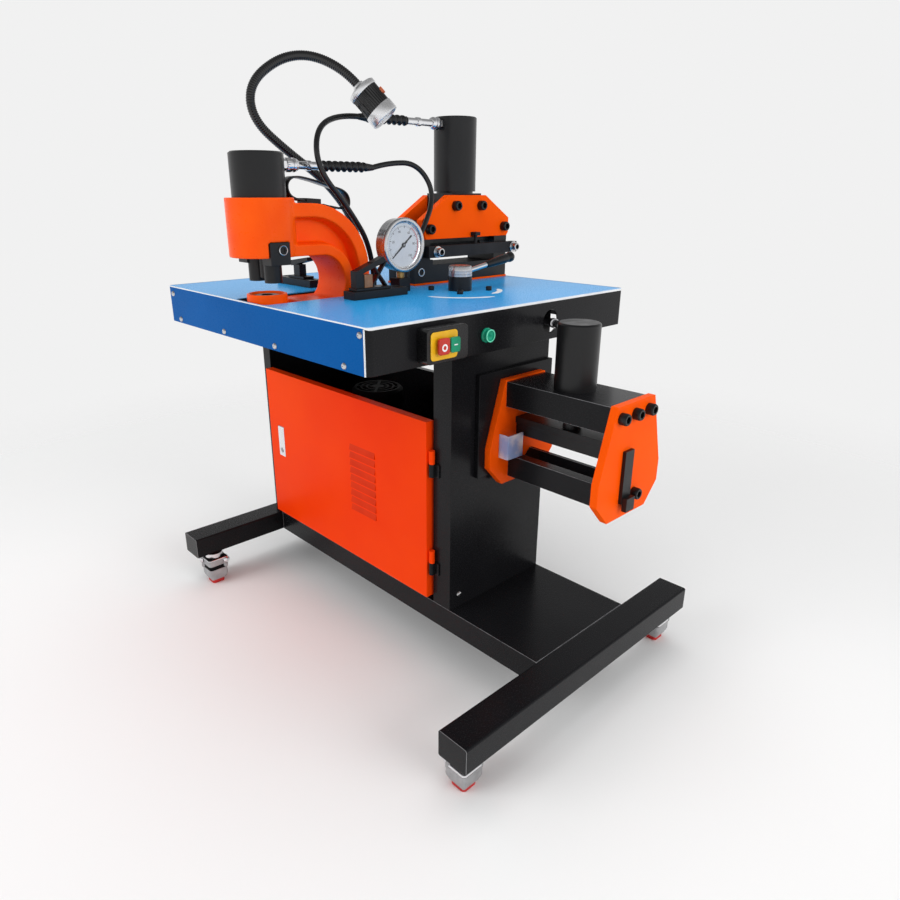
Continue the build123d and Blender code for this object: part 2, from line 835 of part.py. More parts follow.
def cutter_cylinder():
    low = table_z + plate_bottom + plate_height
    block_low = table_z + plate_bottom + 40
    half = plate_gap / 2
    crown = plate_top_length / 2 + 2
    head = slab((cutter_x - half, cutter_x + half), (cutter_y - crown, cutter_y + crown), (block_low, low + 4))
    r = cutter_cylinder_diameter / 2
    profile = [(0, 3), (r - 6, 3), (r - 6, 8), (r, 8), (r, cutter_cylinder_height + 6),
               (r - 2, cutter_cylinder_height + 8), (0, cutter_cylinder_height + 8)]
    body = head + turned(profile, (cutter_x, cutter_y, low), (0, 0, 1))
    body -= rod((cutter_x, cutter_y, block_low - 1), (0, 0, 1), plate_height + 20, cutter_ram + 2 * running_fit)
    return body


def cutter_blade():
    high = table_z + plate_bottom + 39
    low = table_z + die_top + blade_stroke + 10
    half = plate_gap / 2 - sliding_gap
    left = cutter_y - plate_length / 2 + 36
    right = cutter_y + plate_length / 2 - 54
    holder = slab((cutter_x - half, cutter_x + half), (left, right), (low, high))
    ram = rod((cutter_x, cutter_y, high - 1), (0, 0, 1), 60, cutter_ram)
    edge = [(cutter_x - 8, low + 1), (cutter_x + 8, low + 1), (cutter_x + 8, low - 8), (cutter_x - 8, low - 3)]
    return holder + ram + across_y(edge, (left + 8, right - 8))


def cutter_clamp_bar():
    low = table_z + clamp_bottom
    front = plate_front + sliding_gap
    left = cutter_y - 141
    bar = slab((front, front + clamp_thickness), (left, clamp_end), (low, low + clamp_height))
    screw_y = cutter_y + 18
    middle = front + clamp_thickness / 2
    bar += rod((middle, screw_y, low + clamp_height - 1), (0, 0, 1), 20, 8)
    bar += slab((middle - 8, middle + 8), (screw_y - 8, screw_y + 8), (low + clamp_height + 18, low + clamp_height + 26))
    for y in clamp_screws():
        z = low + clamp_height / 2
        bar -= rod((front - 1, y, z), (1, 0, 0), clamp_thickness + 2, 10)
    return [bar] + [clamp_screw(y) for y in clamp_screws()]


def clamp_screw(y):
    low = table_z + clamp_bottom
    face = plate_front + sliding_gap + clamp_thickness
    z = low + clamp_height / 2
    screw = rod((plate_front - 18, y, z), (1, 0, 0), face - plate_front + 18, 10)
    screw += rod((face, y, z), (1, 0, 0), 3, 25)
    screw += rod((face + 3, y, z), (1, 0, 0), 12, 17)
    return screw - rod((face + 9, y, z), (1, 0, 0), 8, 9)


def gauge_case():
    r = gauge_diameter / 2
    z = table_z + gauge_rise
    d = gauge_depth
    profile = [(0, -d), (r - 4, -d), (r - 1, -d + 3), (r - 1, -9), (r + 1, -8), (r + 1, -1), (r, 0), (r - 5, 0),
               (r - 5, -8), (0, -8)]
    case = turned(profile, (gauge_x, gauge_y, z), (1, 0, 0))
    stem_x = gauge_x - 18
    case += rod((stem_x, gauge_y, table_z + 27), (0, 0, 1), gauge_rise - 27 - r + 8, 14)
    block = Pos(stem_x, gauge_y, table_z) * extrude(RectangleRounded(30, 30, 3), 27)
    block += rod((stem_x, gauge_y, pan_z), (0, 0, 1), 6, 12 - 2 * seat_gap)
    return [case, block]


def gauge_dial():
    z = table_z + gauge_rise
    dial = rod((gauge_x - 8, gauge_y, z), (1, 0, 0), 1.5, gauge_dial_diameter)
    return dial + rod((gauge_x - 7, gauge_y, z), (1, 0, 0), 4, gauge_pivot)


def gauge_needle():
    z = table_z + gauge_rise
    x = gauge_x - 6.5 + sliding_gap
    plane = side_plane(x) * Pos(gauge_y, z)
    pointer = Rot(0, 0, 220) * Polygon((-12, -2.2), (-12, 2.2), (40, 0.7), (40, -0.7), align=None)
    needle = extrude(plane * pointer, 1.2, dir=(1, 0, 0)) + rod((x, gauge_y, z), (1, 0, 0), 1.2, 10)
    return needle - rod((x - 1, gauge_y, z), (1, 0, 0), 4, gauge_pivot + 2 * running_fit)


def valve_body():
    r = valve_diameter / 2
    spigot = valve_spigot / 2
    low = pan_z - table_z
    profile = [(0, low - 1), (15 - seat_gap, low - 1), (15 - seat_gap, 0), (r, 0), (r, valve_base - 1), (r - 1, valve_base),
               (spigot, valve_base), (spigot, valve_base + 14), (0, valve_base + 14)]
    body = turned(profile, (valve_x, valve_y, table_z), (0, 0, 1))
    left = min(punch_route()[-1][0], cutter_route()[-1][0]) - 14
    front = min(punch_route()[-1][1], cutter_route()[-1][1]) - 14
    return body + slab((left, valve_x + 24), (front, valve_y + 24), (pan_z - manifold_height, pan_z))


def valve_lever():
    r = valve_diameter / 2
    bore = valve_spigot / 2 + running_fit
    low = valve_base + sliding_gap
    high = valve_base + valve_cap
    profile = [(bore, low), (r, low), (r, high - 5), (r - 1.5, high - 4), (r - 1.5, high - 2), (r - 3, high), (0, high),
               (0, high - 6), (bore, high - 6)]
    cap = turned(profile, (valve_x, valve_y, table_z), (0, 0, 1))
    rise = radians(9)
    way = (0, cos(rise), sin(rise))
    start = (valve_x, valve_y + r - 3, table_z + valve_base + 9)
    length = lever_reach - r
    cap += rod(start, way, length, lever_rod)
    tail = tuple(s + length * w for s, w in zip(start, way))
    thin = lever_rod / 2 + 1.5
    thick = grip_diameter / 2
    grip = turned([(0, 0), (thin, 0), (thin + 1, 3), (thick, grip_length - 12), (thick - 3, grip_length - 3),
                   (thick - 7, grip_length), (0, grip_length)], tail, way)
    return [cap, grip]


def switch_box():
    x = (table_right, table_right + switch_depth)
    z = table_z - switch_drop
    plane = side_plane(x[0]) * Pos(switch_y, z)
    box = extrude(plane * RectangleRounded(switch_width, switch_height, 8), switch_depth)
    plate = extrude(side_plane(x[1]) * Pos(switch_y - 10, z) * RectangleRounded(62, 48, 7), 2)
    for y in switch_buttons():
        bore = rod((x[1] - 16, y, z), (1, 0, 0), 20, 15)
        box -= bore
        plate -= bore
    return [box, plate]


def switch_buttons():
    return switch_y - 18.5, switch_y + 7.5


def push_button(y, width, height):
    face = table_right + switch_depth + 2
    plane = side_plane(face + button_travel + 0.4) * Pos(y, table_z - switch_drop)
    cap = extrude(plane * RectangleRounded(width, height, 5), 5)
    return cap + rod((face - 12, y, table_z - switch_drop), (1, 0, 0), 13 + button_travel, 15 - 2 * running_fit)


def pilot_lamp():
    r = pilot_diameter / 2
    profile = [(0, -10), (5.8, -10), (5.8, 0), (r, 0), (r, 5), (r - 3, 6), (r - 3, 14), (r - 6, 18), (0, 19)]
    return turned(profile, (table_right, pilot_y, table_z - pilot_drop), (1, 0, 0))


def neck_points():
    z = table_z
    y = lamp_y
    return [
        (lamp_x, y, z + 10), (lamp_x, y - 13, z + 124), (lamp_x, y - 85, z + 216), (lamp_x, y - 185, z + 276),
        (lamp_x, y - 256, z + 329), (lamp_x, y - 258, z + 390), (lamp_x + 4, y - 193, z + 440),
        (lamp_x + 27, y - 133, z + 451), (lamp_x + 82, y - 92.5, z + 420.5), (lamp_x + 100, y - 75, z + 393),
    ]


def lamp_axis():
    points = neck_points()
    way = (Vector(*points[-1]) - Vector(*points[-2])).normalized()
    return points[-1], (way.X, way.Y, way.Z)


def lamp_gooseneck():
    points = neck_points()
    path = FilletPolyline(*points, radius=hose_radii(points))
    neck = sweep(Plane(path @ 0, z_dir=path % 0) * Circle(neck_diameter / 2), path)
    foot = turned([(0, -10), (5.8, -10), (5.8, 0), (18, 0), (18, 6), (12, 11), (0, 11)], (lamp_x, lamp_y, table_z), (0, 0, 1))
    return neck + foot


def lamp_head():
    origin, way = lamp_axis()
    r = lamp_diameter / 2
    ring = turned([(0, 0), (neck_diameter / 2 + 3, 0), (r - 4, 5), (r, 7), (r, 17), (0, 17)], origin, way)
    back = lamp_length - 22
    barrel = extrude(Circle(r - 2), back - 17)
    barrel = Pos(0, 0, 17) * barrel
    for step in range(18):
        turn = 360 / 18 * step
        if 20 <= turn <= 340:
            groove = Rot(0, 0, turn) * Pos(r - 1.2, 0, 20) * Cylinder(1.6, back - 23, align=(Align.CENTER, Align.CENTER, Align.MIN))
            barrel -= groove
    barrel -= Pos(r - 8, 0, (17 + back) / 2) * Rot(0, 90, 0) * Cylinder(7 + running_fit, 14)
    barrel = lamp_place() * barrel
    bezel = turned([(0, back), (r, back), (r, lamp_length - 2), (r - 1, lamp_length), (r - 4, lamp_length),
                    (r - 4, lamp_length - 8), (0, lamp_length - 8)], origin, way)
    return [ring, barrel, bezel]


def lamp_place():
    # lamp frame: local Z runs to the lens, local X points out to the button
    origin, way = lamp_axis()
    return Plane(origin, x_dir=(0, -way[2], way[1]), z_dir=way).location * Rot(0, 0, lamp_button_turn)


def lamp_lens():
    origin, way = lamp_axis()
    r = lamp_diameter / 2 - 4 - seat_gap
    high = lamp_length - 2
    return turned([(0, high - 6), (r, high - 6), (r, high - 3), (r - 6, high - 1), (0, high)], origin, way)


def lamp_button():
    r = lamp_diameter / 2
    middle = (17 + lamp_length - 22) / 2
    cap = Pos(r - 8, 0, middle) * Rot(0, 90, 0) * Cylinder(7, 10, align=(Align.CENTER, Align.CENTER, Align.MIN))
    return lamp_place() * cap


def bender_outline():
    crown = bender_crown / 2
    base = bender_base / 2
    wide = bender_wide / 2
    y = bender_y
    low = bender_bottom + 42
    high = bender_bottom + 84
    return [
        (y - base, bender_bottom), (y + base, bender_bottom), (y + wide, low), (y + wide, high), (y + crown, bender_top),
        (y - crown, bender_top), (y - wide, high), (y - wide, low),
    ]


def bender_span():
    return bender_x + bender_side, bender_x + bender_side + bender_inside


def bender_bolts():
    z = bender_top - 22
    return [(bender_y - 48, z), (bender_y - 4, z), (bender_y + 40, z), (bender_y + 16, bender_bottom + 40)]


def bender_mount():
    return slab((cabinet_right, bender_x), (bender_y - bender_mount_front, deck_back), (bender_bottom + 23, bender_top + 17))


def bender_plates():
    low, high = bender_span()
    inner = across_x(bender_outline(), (low - bender_side, low))
    outer = across_x(bender_outline(), (high, high + bender_side))
    half = bend_slot_width / 2
    middle = bender_y + bend_slot_y
    outer -= slab((high - 1, high + bender_side + 1), (middle - half, middle + half), (bend_slot_low, bend_slot_high))
    for y, z in bender_bolts():
        outer -= rod((high - 1, y, z), (1, 0, 0), bender_side + 2, 10.4)
    return [inner, outer]


def bender_top_block():
    low, high = bender_span()
    half = bender_crown / 2 - 2
    top = bender_top - 3
    block = slab((low, high), (bender_y - half, bender_y + half), (top - bend_block_height, top))
    block -= rod(((low + high) / 2, bender_y, top - bend_block_height - 1), (0, 0, 1), bend_block_height + 2,
                 bender_ram + 2 * running_fit)
    return block


def bender_cylinder():
    low, high = bender_span()
    r = bender_cylinder_diameter / 2
    tall = bender_cylinder_height
    bore = bender_ram / 2 + running_fit
    profile = [(bore, 0), (r, 0), (r, tall - 3), (r - 3, tall), (0, tall), (0, tall - 24), (bore, tall - 24)]
    return turned(profile, ((low + high) / 2, bender_y, bender_top - 3), (0, 0, 1))


def bender_pusher():
    # flat plate over a bar with a blunt nose, on the ram
    low, high = bender_span()
    x = (low + sliding_gap, high - sliding_gap)
    y = bender_y
    z = bend_die_top + bend_gap
    outline = [(y - 28, z + 37), (y + 28, z + 37), (y + 28, z + 24), (y + 25, z + 24), (y + 25, z), (y + 20, z),
               (y + 5, z - 8), (y - 5, z - 8), (y - 20, z), (y - 25, z), (y - 25, z + 24), (y - 28, z + 24)]
    body = across_x(outline, x)
    return body + rod(((low + high) / 2, y, z + 36), (0, 0, 1), 165, bender_ram)


def bender_die():
    low, high = bender_span()
    y = bender_y
    z = bend_die_top
    outline = [(y - 46, bend_die_low), (y + 30, bend_die_low), (y + 30, z), (y + 22, z), (y + 5, z - 16), (y - 5, z - 16),
               (y - 22, z), (y - 46, z)]
    return across_x(outline, (low, high))


def bend_stop():
    # bar that rides in the outer side's slot, with its flange and square stop block
    low, high = bender_span()
    half = bend_slot_width / 2 - sliding_gap
    middle = bender_y + bend_slot_y
    face = high + bender_side
    bar = slab((high + 1, face + 7), (middle - half, middle + half), (bend_slot_low + 10, bend_slot_high - 12))
    bar += slab((face + sliding_gap, face + 7), (middle - half - 4, middle + half + 4),
                (bend_slot_low + 1, bend_slot_high + 1))
    knob = slab((face + 7, face + 17), (middle - 12, middle + 14), (bend_slot_low - 12, bend_slot_low + 14))
    return bar + knob


def bender_guard():
    # clear sheet bent in an L, closed by the inner plate
    low, high = bender_span()
    t = 3.0
    y = bender_y - 76
    points = [(low, y), (low + 25, y), (low + 25, y + 45), (low + 25 - t, y + 45), (low + 25 - t, y + t), (low, y + t)]
    return Pos(0, 0, bend_die_top + 2) * extrude(Polygon(*points, align=None), 50, dir=(0, 0, 1))


def oil_tank():
    # welded sheet tank, open to the deck, under a thicker lid
    t = tank_sheet
    tank = extrude(RectangleRounded(tank_length, tank_width, 12), tank_height)
    tank -= extrude(RectangleRounded(tank_length - 2 * t, tank_width - 2 * t, 12 - t), tank_height)
    lid = Pos(0, 0, tank_height) * extrude(RectangleRounded(tank_length + 16, tank_width + 16, 12), tank_lid)
    return Pos(motor_x, motor_y, deck_z) * (tank + lid)


def pump_motor():
    low = deck_z + tank_height + tank_lid
    r = motor_diameter / 2
    skirt = 62.0
    top = motor_top
    body = rod((motor_x, motor_y, low), (0, 0, 1), top - skirt - low + 8, motor_diameter - 16)
    body += rod((motor_x, motor_y, low), (0, 0, 1), 12, motor_diameter + 6)
    body += rod((motor_x, motor_y, top - skirt), (0, 0, 1), skirt - 14, shaft_diameter)
    for step in range(16):
        fin = Pos(motor_x, motor_y, low + 20) * Rot(0, 0, 22.5 * step) * Pos(r - 6, 0, 0) * Box(
            9, 3, top - skirt - low - 24, align=(Align.CENTER, Align.CENTER, Align.MIN))
        body += fin
    cowl = turned([(r - 9, top - skirt + 6), (r, top - skirt + 6), (r, top - 6), (r - 6, top), (0, top), (0, top - 2.5),
                   (r - 7, top - 2.5), (r - 2.5, top - 7), (r - 2.5, top - skirt + 8.5), (r - 9, top - skirt + 8.5)],
                  (motor_x, motor_y, 0), (0, 0, 1))
    for ring in range(3):
        radius = 16 + 13 * ring
        slot = turned([(radius, top - 5), (radius + 8, top - 5), (radius + 8, top + 1), (radius, top + 1)],
                      (motor_x, motor_y, 0), (0, 0, 1))
        for turn in (45, -45):
            slot -= Pos(motor_x, motor_y, top) * Rot(0, 0, turn) * Box(motor_diameter, 6, 20)
        cowl -= slot
    body -= rod((motor_x, motor_y, top - 13), (0, 0, 1), 20, shaft_diameter + 2)
    return [body, cowl]


def motor_fan():
    low = motor_top - 46
    bore = shaft_diameter / 2 + running_fit
    hub = turned([(bore, low), (44, low), (44, low + 3), (15, low + 6), (15, low + 30), (bore, low + 30)],
                 (motor_x, motor_y, 0), (0, 0, 1))
    for step in range(7):
        blade = Pos(motor_x, motor_y, low + 2) * Rot(0, 0, 360 / 7 * step) * Pos(30, 0, 0) * Box(
            34, 2.5, 26, align=(Align.CENTER, Align.CENTER, Align.MIN))
        hub += blade
    return hub


def front_rail():
    x, y = front_rail_corner
    return (x, x + rail_width), (y, y + rail_length)


def rear_rail():
    x, y = rear_rail_corner
    return (x, x + rail_length), (y, y + rail_width)


def stop_rails():
    rails = []
    x, y = front_rail()
    middle = (x[0] + x[1]) / 2
    half = rail_slot / 2
    rail = slab(x, y, (table_z, table_z + rail_height))
    rails.append(rail - slab((middle - half, middle + half), (y[0] + 6, y[1] - 6), (table_z + 7, table_z + 40)))
    x, y = rear_rail()
    middle = (y[0] + y[1]) / 2
    rail = slab(x, y, (table_z, table_z + rail_height))
    rails.append(rail - slab((x[0] + 6, x[1] - 6), (middle - half, middle + half), (table_z + 7, table_z + 40)))
    return rails


def stop_slide_front():
    x, y = front_rail()
    middle = (x[0] + x[1]) / 2
    low = table_z + rail_height + sliding_gap
    start = y[0] + 12
    half = rail_slot / 2 - sliding_gap
    body = slab((middle - 14, middle + 14), (start - 2, start + 84), (low, low + 5))
    body += slab((middle - half, middle + half), (start, start + 70), (table_z + 8, low + 1))
    body += slab((middle - 9, middle + 9), (start, start + 19), (low + 4, low + 38))
    arm = [(start, low + 26), (start, low + 37), (start + 70, low + 62), (start + 76, low + 54), (start + 70, low + 50)]
    body += across_x(arm, (middle - 9, middle + 9))
    cross = ((start + 42, start + 80), (start + 80, start + 42))
    for near, far in cross:
        leg = [(near - 2.5, low + 4), (near + 2.5, low + 4), (far + 2.5, low + 53), (far - 2.5, low + 53)]
        body += across_x(leg, (middle - 6, middle + 6))
    block = slab((middle - 10, middle + 10), (start + 20, start + 40), (low + 5, low + 30))
    return [body, block]


def stop_slide_rear():
    x, y = rear_rail()
    middle = (y[0] + y[1]) / 2
    low = table_z + rail_height + sliding_gap
    start = x[0] + 44
    half = rail_slot / 2 - sliding_gap
    body = slab((start, start + 62), (middle - 14, middle + 14), (low, low + 5))
    body += slab((start + 4, start + 58), (middle - half, middle + half), (table_z + 8, low + 1))
    body += slab((start + 16, start + 40), (middle - 9, middle + 9), (low + 4, low + 30))
    arm = [(start + 6, low + 26), (start + 74, low + 40), (start + 74, low + 48), (start + 6, low + 38)]
    body += across_y(arm, (middle - 9, middle + 9))
    return body


def socket_bolt(face, direction, head, length):
    # cap screw: head on the face, shank in its hole
    bolt = rod(face, direction, length, head)
    seat = tuple(f + d * length * 0.55 for f, d in zip(face, direction))
    return bolt - rod(seat, direction, length, head * 0.5)


def black_bolts():
    bolts = []
    for side in (-1, 1):
        for y, z in cutter_bolts():
            face = cutter_x + side * (plate_gap / 2 + plate_thickness)
            bolts.append(socket_bolt((face, y, z), (side, 0, 0), cutter_bolt_head, cutter_bolt_length))
    low, high = bender_span()
    for y, z in bender_bolts():
        bolts.append(socket_bolt((high + bender_side, y, z), (1, 0, 0), bender_bolt_head, bender_bolt_length))
    half = valve_bolt_square / 2
    for dx, dy in ((-half, -half), (half, -half), (half, half), (-half, half)):
        bolts.append(socket_bolt((valve_x + dx, valve_y + dy, table_z), (0, 0, 1), 13, 7))
    return bolts


def cover_screws():
    top = table_z
    return [(-455.0, top - 16), (-429.0, top - 70), (-224.0, top - 70), (-26.0, top - 70), (191.0, top - 70), (236.0, top - 13)]


def steel_screws():
    screws = []
    for x, z in cover_screws():
        screws.append(turned([(0, 0), (6, 0), (5, 2.4), (2.5, 4), (0, 4)], (x, table_front, z), (0, -1, 0)))
    side = (cabinet_right, deck_front + 27, deck_z + 30)
    screws.append(turned([(0, 0), (5, 0), (4.2, 2), (2, 3.5), (0, 3.5)], side, (1, 0, 0)))
    for way in (-1, 1):
        face = punch_x + way * (collar_diameter / 2 - 2)
        screws.append(socket_bolt((face, punch_y + 5, table_z + throat_top + 14), (way, 0, 0), 13, 6))
    return screws


def save(name, shape):
    pieces = shape if isinstance(shape, list) else [shape]
    solids = [Pos(0, y_shift, 0) * solid for piece in pieces for solid in piece.solids()]
    whole = solids[0] if len(solids) == 1 else Compound(children=solids)
    whole.label = name
    export_step(whole, "parts/" + name + ".step")
    print(name, len(solids), "solids", round(sum(s.volume for s in solids) / 1000.0, 1), "cm3")


def build():
    os.makedirs("parts", exist_ok=True)
    save("base_frame", base_frame())
    places = caster_places()
    save("caster_bodies", [caster_body(x, y) for x, y in places])
    for number, (x, y) in enumerate(places, start=1):
        save("caster_wheel_" + str(number), caster_wheel(x, y))
        save("caster_pad_" + str(number), caster_pad(x, y))
    save("cabinet_panels", cabinet_panels())
    save("bender_mount", bender_mount())
    save("door", door())
    save("door_hinges", door_hinges())
    save("lock_handle", lock_handle())
    save("table_pan", table_pan())
    save("table_top", table_top())
    save("front_cover", front_cover())
    save("black_bolts", black_bolts())
    save("steel_screws", steel_screws())
    save("cutter_plates", cutter_plates())
    save("cutter_die_block", cutter_die_block())
    save("cutter_cylinder", cutter_cylinder())
    save("cutter_blade", cutter_blade())
    save("cutter_clamp_bar", cutter_clamp_bar())
    frame = punch_frame()
    save("punch_frame", frame)
    save("punch_cylinder", punch_cylinder())
    save("punch_ram", punch_ram())
    save("punch_strippers", punch_strippers())
    save("punch_die", punch_die())
    save("carry_handle", carry_handle(frame))
    save("hose_couplers", hose_couplers())
    save("punch_hose", punch_hose())
    save("cutter_hose", cutter_hose())
    save("gauge_case", gauge_case())
    save("gauge_dial", gauge_dial())
    save("gauge_needle", gauge_needle())
    save("valve_body", valve_body())
    save("valve_lever", valve_lever())
    save("switch_box", switch_box())
    stop_y, start_y = switch_buttons()
    save("stop_button", push_button(stop_y, *stop_button_size))
    save("start_button", push_button(start_y, *start_button_size))
    save("pilot_lamp", pilot_lamp())
    save("lamp_gooseneck", lamp_gooseneck())
    save("lamp_head", lamp_head())
    save("lamp_lens", lamp_lens())
    save("lamp_button", lamp_button())
    save("bender_plates", bender_plates())
    save("bender_top_block", bender_top_block())
    save("bender_cylinder", bender_cylinder())
    save("bender_pusher", bender_pusher())
    save("bender_die", bender_die())
    save("bend_stop", bend_stop())
    save("bender_guard", bender_guard())
    save("oil_tank", oil_tank())
    save("pump_motor", pump_motor())
    save("motor_fan", motor_fan())
    save("stop_rails", stop_rails())
    save("stop_slide_front", stop_slide_front())
    save("stop_slide_rear", stop_slide_rear())


build()
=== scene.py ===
import json
import math

import bmesh
import bpy
from mathutils import Matrix, Vector

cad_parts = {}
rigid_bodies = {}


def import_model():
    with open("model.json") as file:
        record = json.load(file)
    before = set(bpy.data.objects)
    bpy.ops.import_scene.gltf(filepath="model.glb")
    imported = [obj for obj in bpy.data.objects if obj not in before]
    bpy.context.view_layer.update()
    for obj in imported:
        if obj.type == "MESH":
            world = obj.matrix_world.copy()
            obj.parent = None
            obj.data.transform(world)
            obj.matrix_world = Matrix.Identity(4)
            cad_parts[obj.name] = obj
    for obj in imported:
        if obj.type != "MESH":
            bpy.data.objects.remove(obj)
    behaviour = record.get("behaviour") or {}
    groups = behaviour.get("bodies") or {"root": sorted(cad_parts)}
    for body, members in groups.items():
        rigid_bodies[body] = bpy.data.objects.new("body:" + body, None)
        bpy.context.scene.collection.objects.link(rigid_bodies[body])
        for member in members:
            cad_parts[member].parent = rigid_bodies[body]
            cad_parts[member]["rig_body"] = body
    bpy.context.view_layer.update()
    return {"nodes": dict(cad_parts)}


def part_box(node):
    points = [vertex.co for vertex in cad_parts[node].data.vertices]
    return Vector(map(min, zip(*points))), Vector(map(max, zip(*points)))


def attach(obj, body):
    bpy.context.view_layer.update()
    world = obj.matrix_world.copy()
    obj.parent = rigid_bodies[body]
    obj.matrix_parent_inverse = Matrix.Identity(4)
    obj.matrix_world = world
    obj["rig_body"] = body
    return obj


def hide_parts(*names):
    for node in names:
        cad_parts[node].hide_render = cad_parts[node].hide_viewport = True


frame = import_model()
scene = bpy.context.scene
nodes = frame["nodes"]
rowShift = -29.0  # where the drawing's Y zero lies in the frame, mm
hardAngle = 38  # edges sharper than this stay hard, degrees
roundAngle = 32  # edges sharper than this are rounded, degrees
flatAngle = 0.05  # faces that turn less than this are joined, degrees
mergeGap = 2e-6  # corners nearer than this are made one, m
print("frame:", len(nodes), "nodes")


def mm(x, y, z):
    # a place of the drawing in mm, as a place in the frame in metres
    return Vector((x, y + rowShift, z)) / 1000


def polar(reach, angle):
    return reach * math.cos(angle), reach * math.sin(angle)


def linked(name, data):
    piece = bpy.data.objects.new(name, data)
    scene.collection.objects.link(piece)
    return piece


def setInputs(node, values):
    # an input takes a value, or a link where the value is another node's output
    for label, value in values.items():
        if isinstance(value, bpy.types.NodeSocket):
            node.id_data.links.new(value, node.inputs[label])
        else:
            node.inputs[label].default_value = value


def adderFor(tree):
    def add(kind, inputs=None, **settings):
        node = tree.nodes.new(kind)
        for label, value in settings.items():
            setattr(node, label, value)
        setInputs(node, inputs or {})
        return node
    return add


def newMaterial(name, values):
    material = bpy.data.materials.new(name)
    material.use_nodes = True
    shader = material.node_tree.nodes["Principled BSDF"]
    setInputs(shader, values)
    return material, shader, adderFor(material.node_tree)


# camera
shot = {"spot": (1.0939, -0.9961, 0.9631), "azimuth": 46.97, "elevation": 20.28, "sensor": 36, "lens": 27.364,
        "shift": (0.0196, -0.0029)}


def placeCamera():
    turn = math.radians(shot["azimuth"])
    rise = math.radians(shot["elevation"])
    right = Vector((*polar(1, turn), 0))
    back = Vector((math.sin(turn) * math.cos(rise), -math.cos(turn) * math.cos(rise), math.sin(rise)))
    axes = Matrix((right, back.cross(right), back)).transposed()
    data = bpy.data.cameras.new("shotCamera")
    data.sensor_width = shot["sensor"]
    data.lens = shot["lens"]
    data.shift_x, data.shift_y = shot["shift"]
    camera = linked("shotCamera", data)
    camera.matrix_world = Matrix.Translation(shot["spot"]) @ axes.to_4x4()
    scene.camera = camera


placeCamera()
scene.view_settings.view_transform = "Standard"

finishes = {}


def addFinish(name, colour, shade, patch, rough, grain, bump, metal=0, gloss=0.5, clear=0, ior=1.5,
              stretch=(1, 1, 1), contrast=0.25):
    # shade: tone of the darker patches; patch and grain: noise scales; rough: span of the roughness
    material, shader, add = newMaterial(name, {"Metallic": metal, "Specular IOR Level": gloss,
                                               "Transmission Weight": clear, "IOR": ior})
    where = add("ShaderNodeTexCoord").outputs["Object"]
    drawn = add("ShaderNodeMapping", {"Vector": where, "Scale": stretch}).outputs["Vector"]
    patches = add("ShaderNodeTexNoise", {"Vector": where, "Scale": patch, "Detail": 4}).outputs["Fac"]
    grains = add("ShaderNodeTexNoise", {"Vector": drawn, "Scale": grain, "Detail": 2}).outputs["Fac"]
    spread = add("ShaderNodeMapRange", {"Value": patches, "From Min": 0.5 - contrast,
                                        "From Max": 0.5 + contrast})
    # sockets 6 and 7 and output 2 are the colours of the mix
    tint = add("ShaderNodeMix", {0: spread.outputs["Result"], 6: (*shade, 1), 7: (*colour, 1)},
               data_type="RGBA")
    span = add("ShaderNodeMapRange", {"Value": grains, "From Min": 0.3, "From Max": 0.7, "To Min": rough[0],
                                      "To Max": rough[1]})
    relief = add("ShaderNodeBump", {"Height": grains, "Strength": bump, "Distance": 0.0006})
    setInputs(shader, {"Base Color": tint.outputs[2], "Roughness": span.outputs["Result"],
                       "Normal": relief.outputs["Normal"]})
    finishes[name] = material


# colour, shade, patch, rough, grain and bump of each finish, and what else it has
addFinish("orangePaint", (0.95, 0.066, 0.0015), (0.84, 0.034, 0.001), 2.4, (0.34, 0.46), 520, 0.02,
          gloss=0.05)
addFinish("plateOrange", (0.94, 0.1, 0.002), (0.9, 0.078, 0.001), 9, (0.34, 0.46), 520, 0.02, gloss=0.04)
# a darker red of the door's own paint for its louvres: painted shade along the rows
addFinish("louvrePaintedShade", (0.72, 0.034, 0.001), (0.62, 0.026, 0.001), 30, (0.36, 0.48), 520, 0.02, gloss=0.1)
addFinish("castOrange", (0.95, 0.1, 0.002), (0.9, 0.072, 0.001), 16, (0.26, 0.38), 150, 0.06, gloss=0.16)
# the table top and the front cover are one blue sheet in two copies: the top's is lighter and the cover's
# darker, painted light and shade
addFinish("blueSheet", (0.028, 0.35, 0.76), (0.02, 0.3, 0.68), 4, (0.24, 0.34), 480, 0.01, gloss=0.14)
addFinish("blueCoverPaintedShade", (0.004, 0.105, 0.37), (0.003, 0.085, 0.31), 4, (0.24, 0.34), 480, 0.01, gloss=0.02)
addFinish("blackPaint", (0.0095, 0.0095, 0.0108), (0.0055, 0.0055, 0.0064), 6, (0.2, 0.3), 620, 0.02,
          gloss=0.14)
# a light grey for the rounded edges of black pieces: a painted highlight where the paint would catch the
# light
addFinish("paintedEdgeHighlight", (0.26, 0.26, 0.27), (0.11, 0.11, 0.116), 40, (0.18, 0.3), 620, 0.02, gloss=0.8)
addFinish("dullBlack", (0.005, 0.005, 0.0056), (0.0025, 0.0025, 0.003), 12, (0.5, 0.62), 620, 0.03,
          gloss=0.06)
addFinish("blackOxide", (0.0075, 0.0075, 0.0085), (0.004, 0.004, 0.0046), 34, (0.32, 0.46), 800, 0.03,
          gloss=0.34)
addFinish("dullSteel", (0.02, 0.02, 0.022), (0.013, 0.013, 0.015), 30, (0.5, 0.64), 700, 0.04, gloss=0.18)
addFinish("turnedBlack", (0.009, 0.009, 0.01), (0.0055, 0.0055, 0.006), 9, (0.3, 0.4), 60, 0.03,
          stretch=(1, 1, 26), gloss=0.34)
addFinish("bareSteel", (0.6, 0.6, 0.62), (0.5, 0.5, 0.52), 30, (0.24, 0.36), 90, 0.015, metal=1,
          stretch=(14, 1, 1))
addFinish("brightPlate", (0.84, 0.84, 0.86), (0.75, 0.75, 0.77), 20, (0.16, 0.24), 200, 0.004, metal=1)
addFinish("satinAlloy", (0.62, 0.62, 0.63), (0.54, 0.54, 0.55), 12, (0.22, 0.3), 160, 0.004, metal=1)
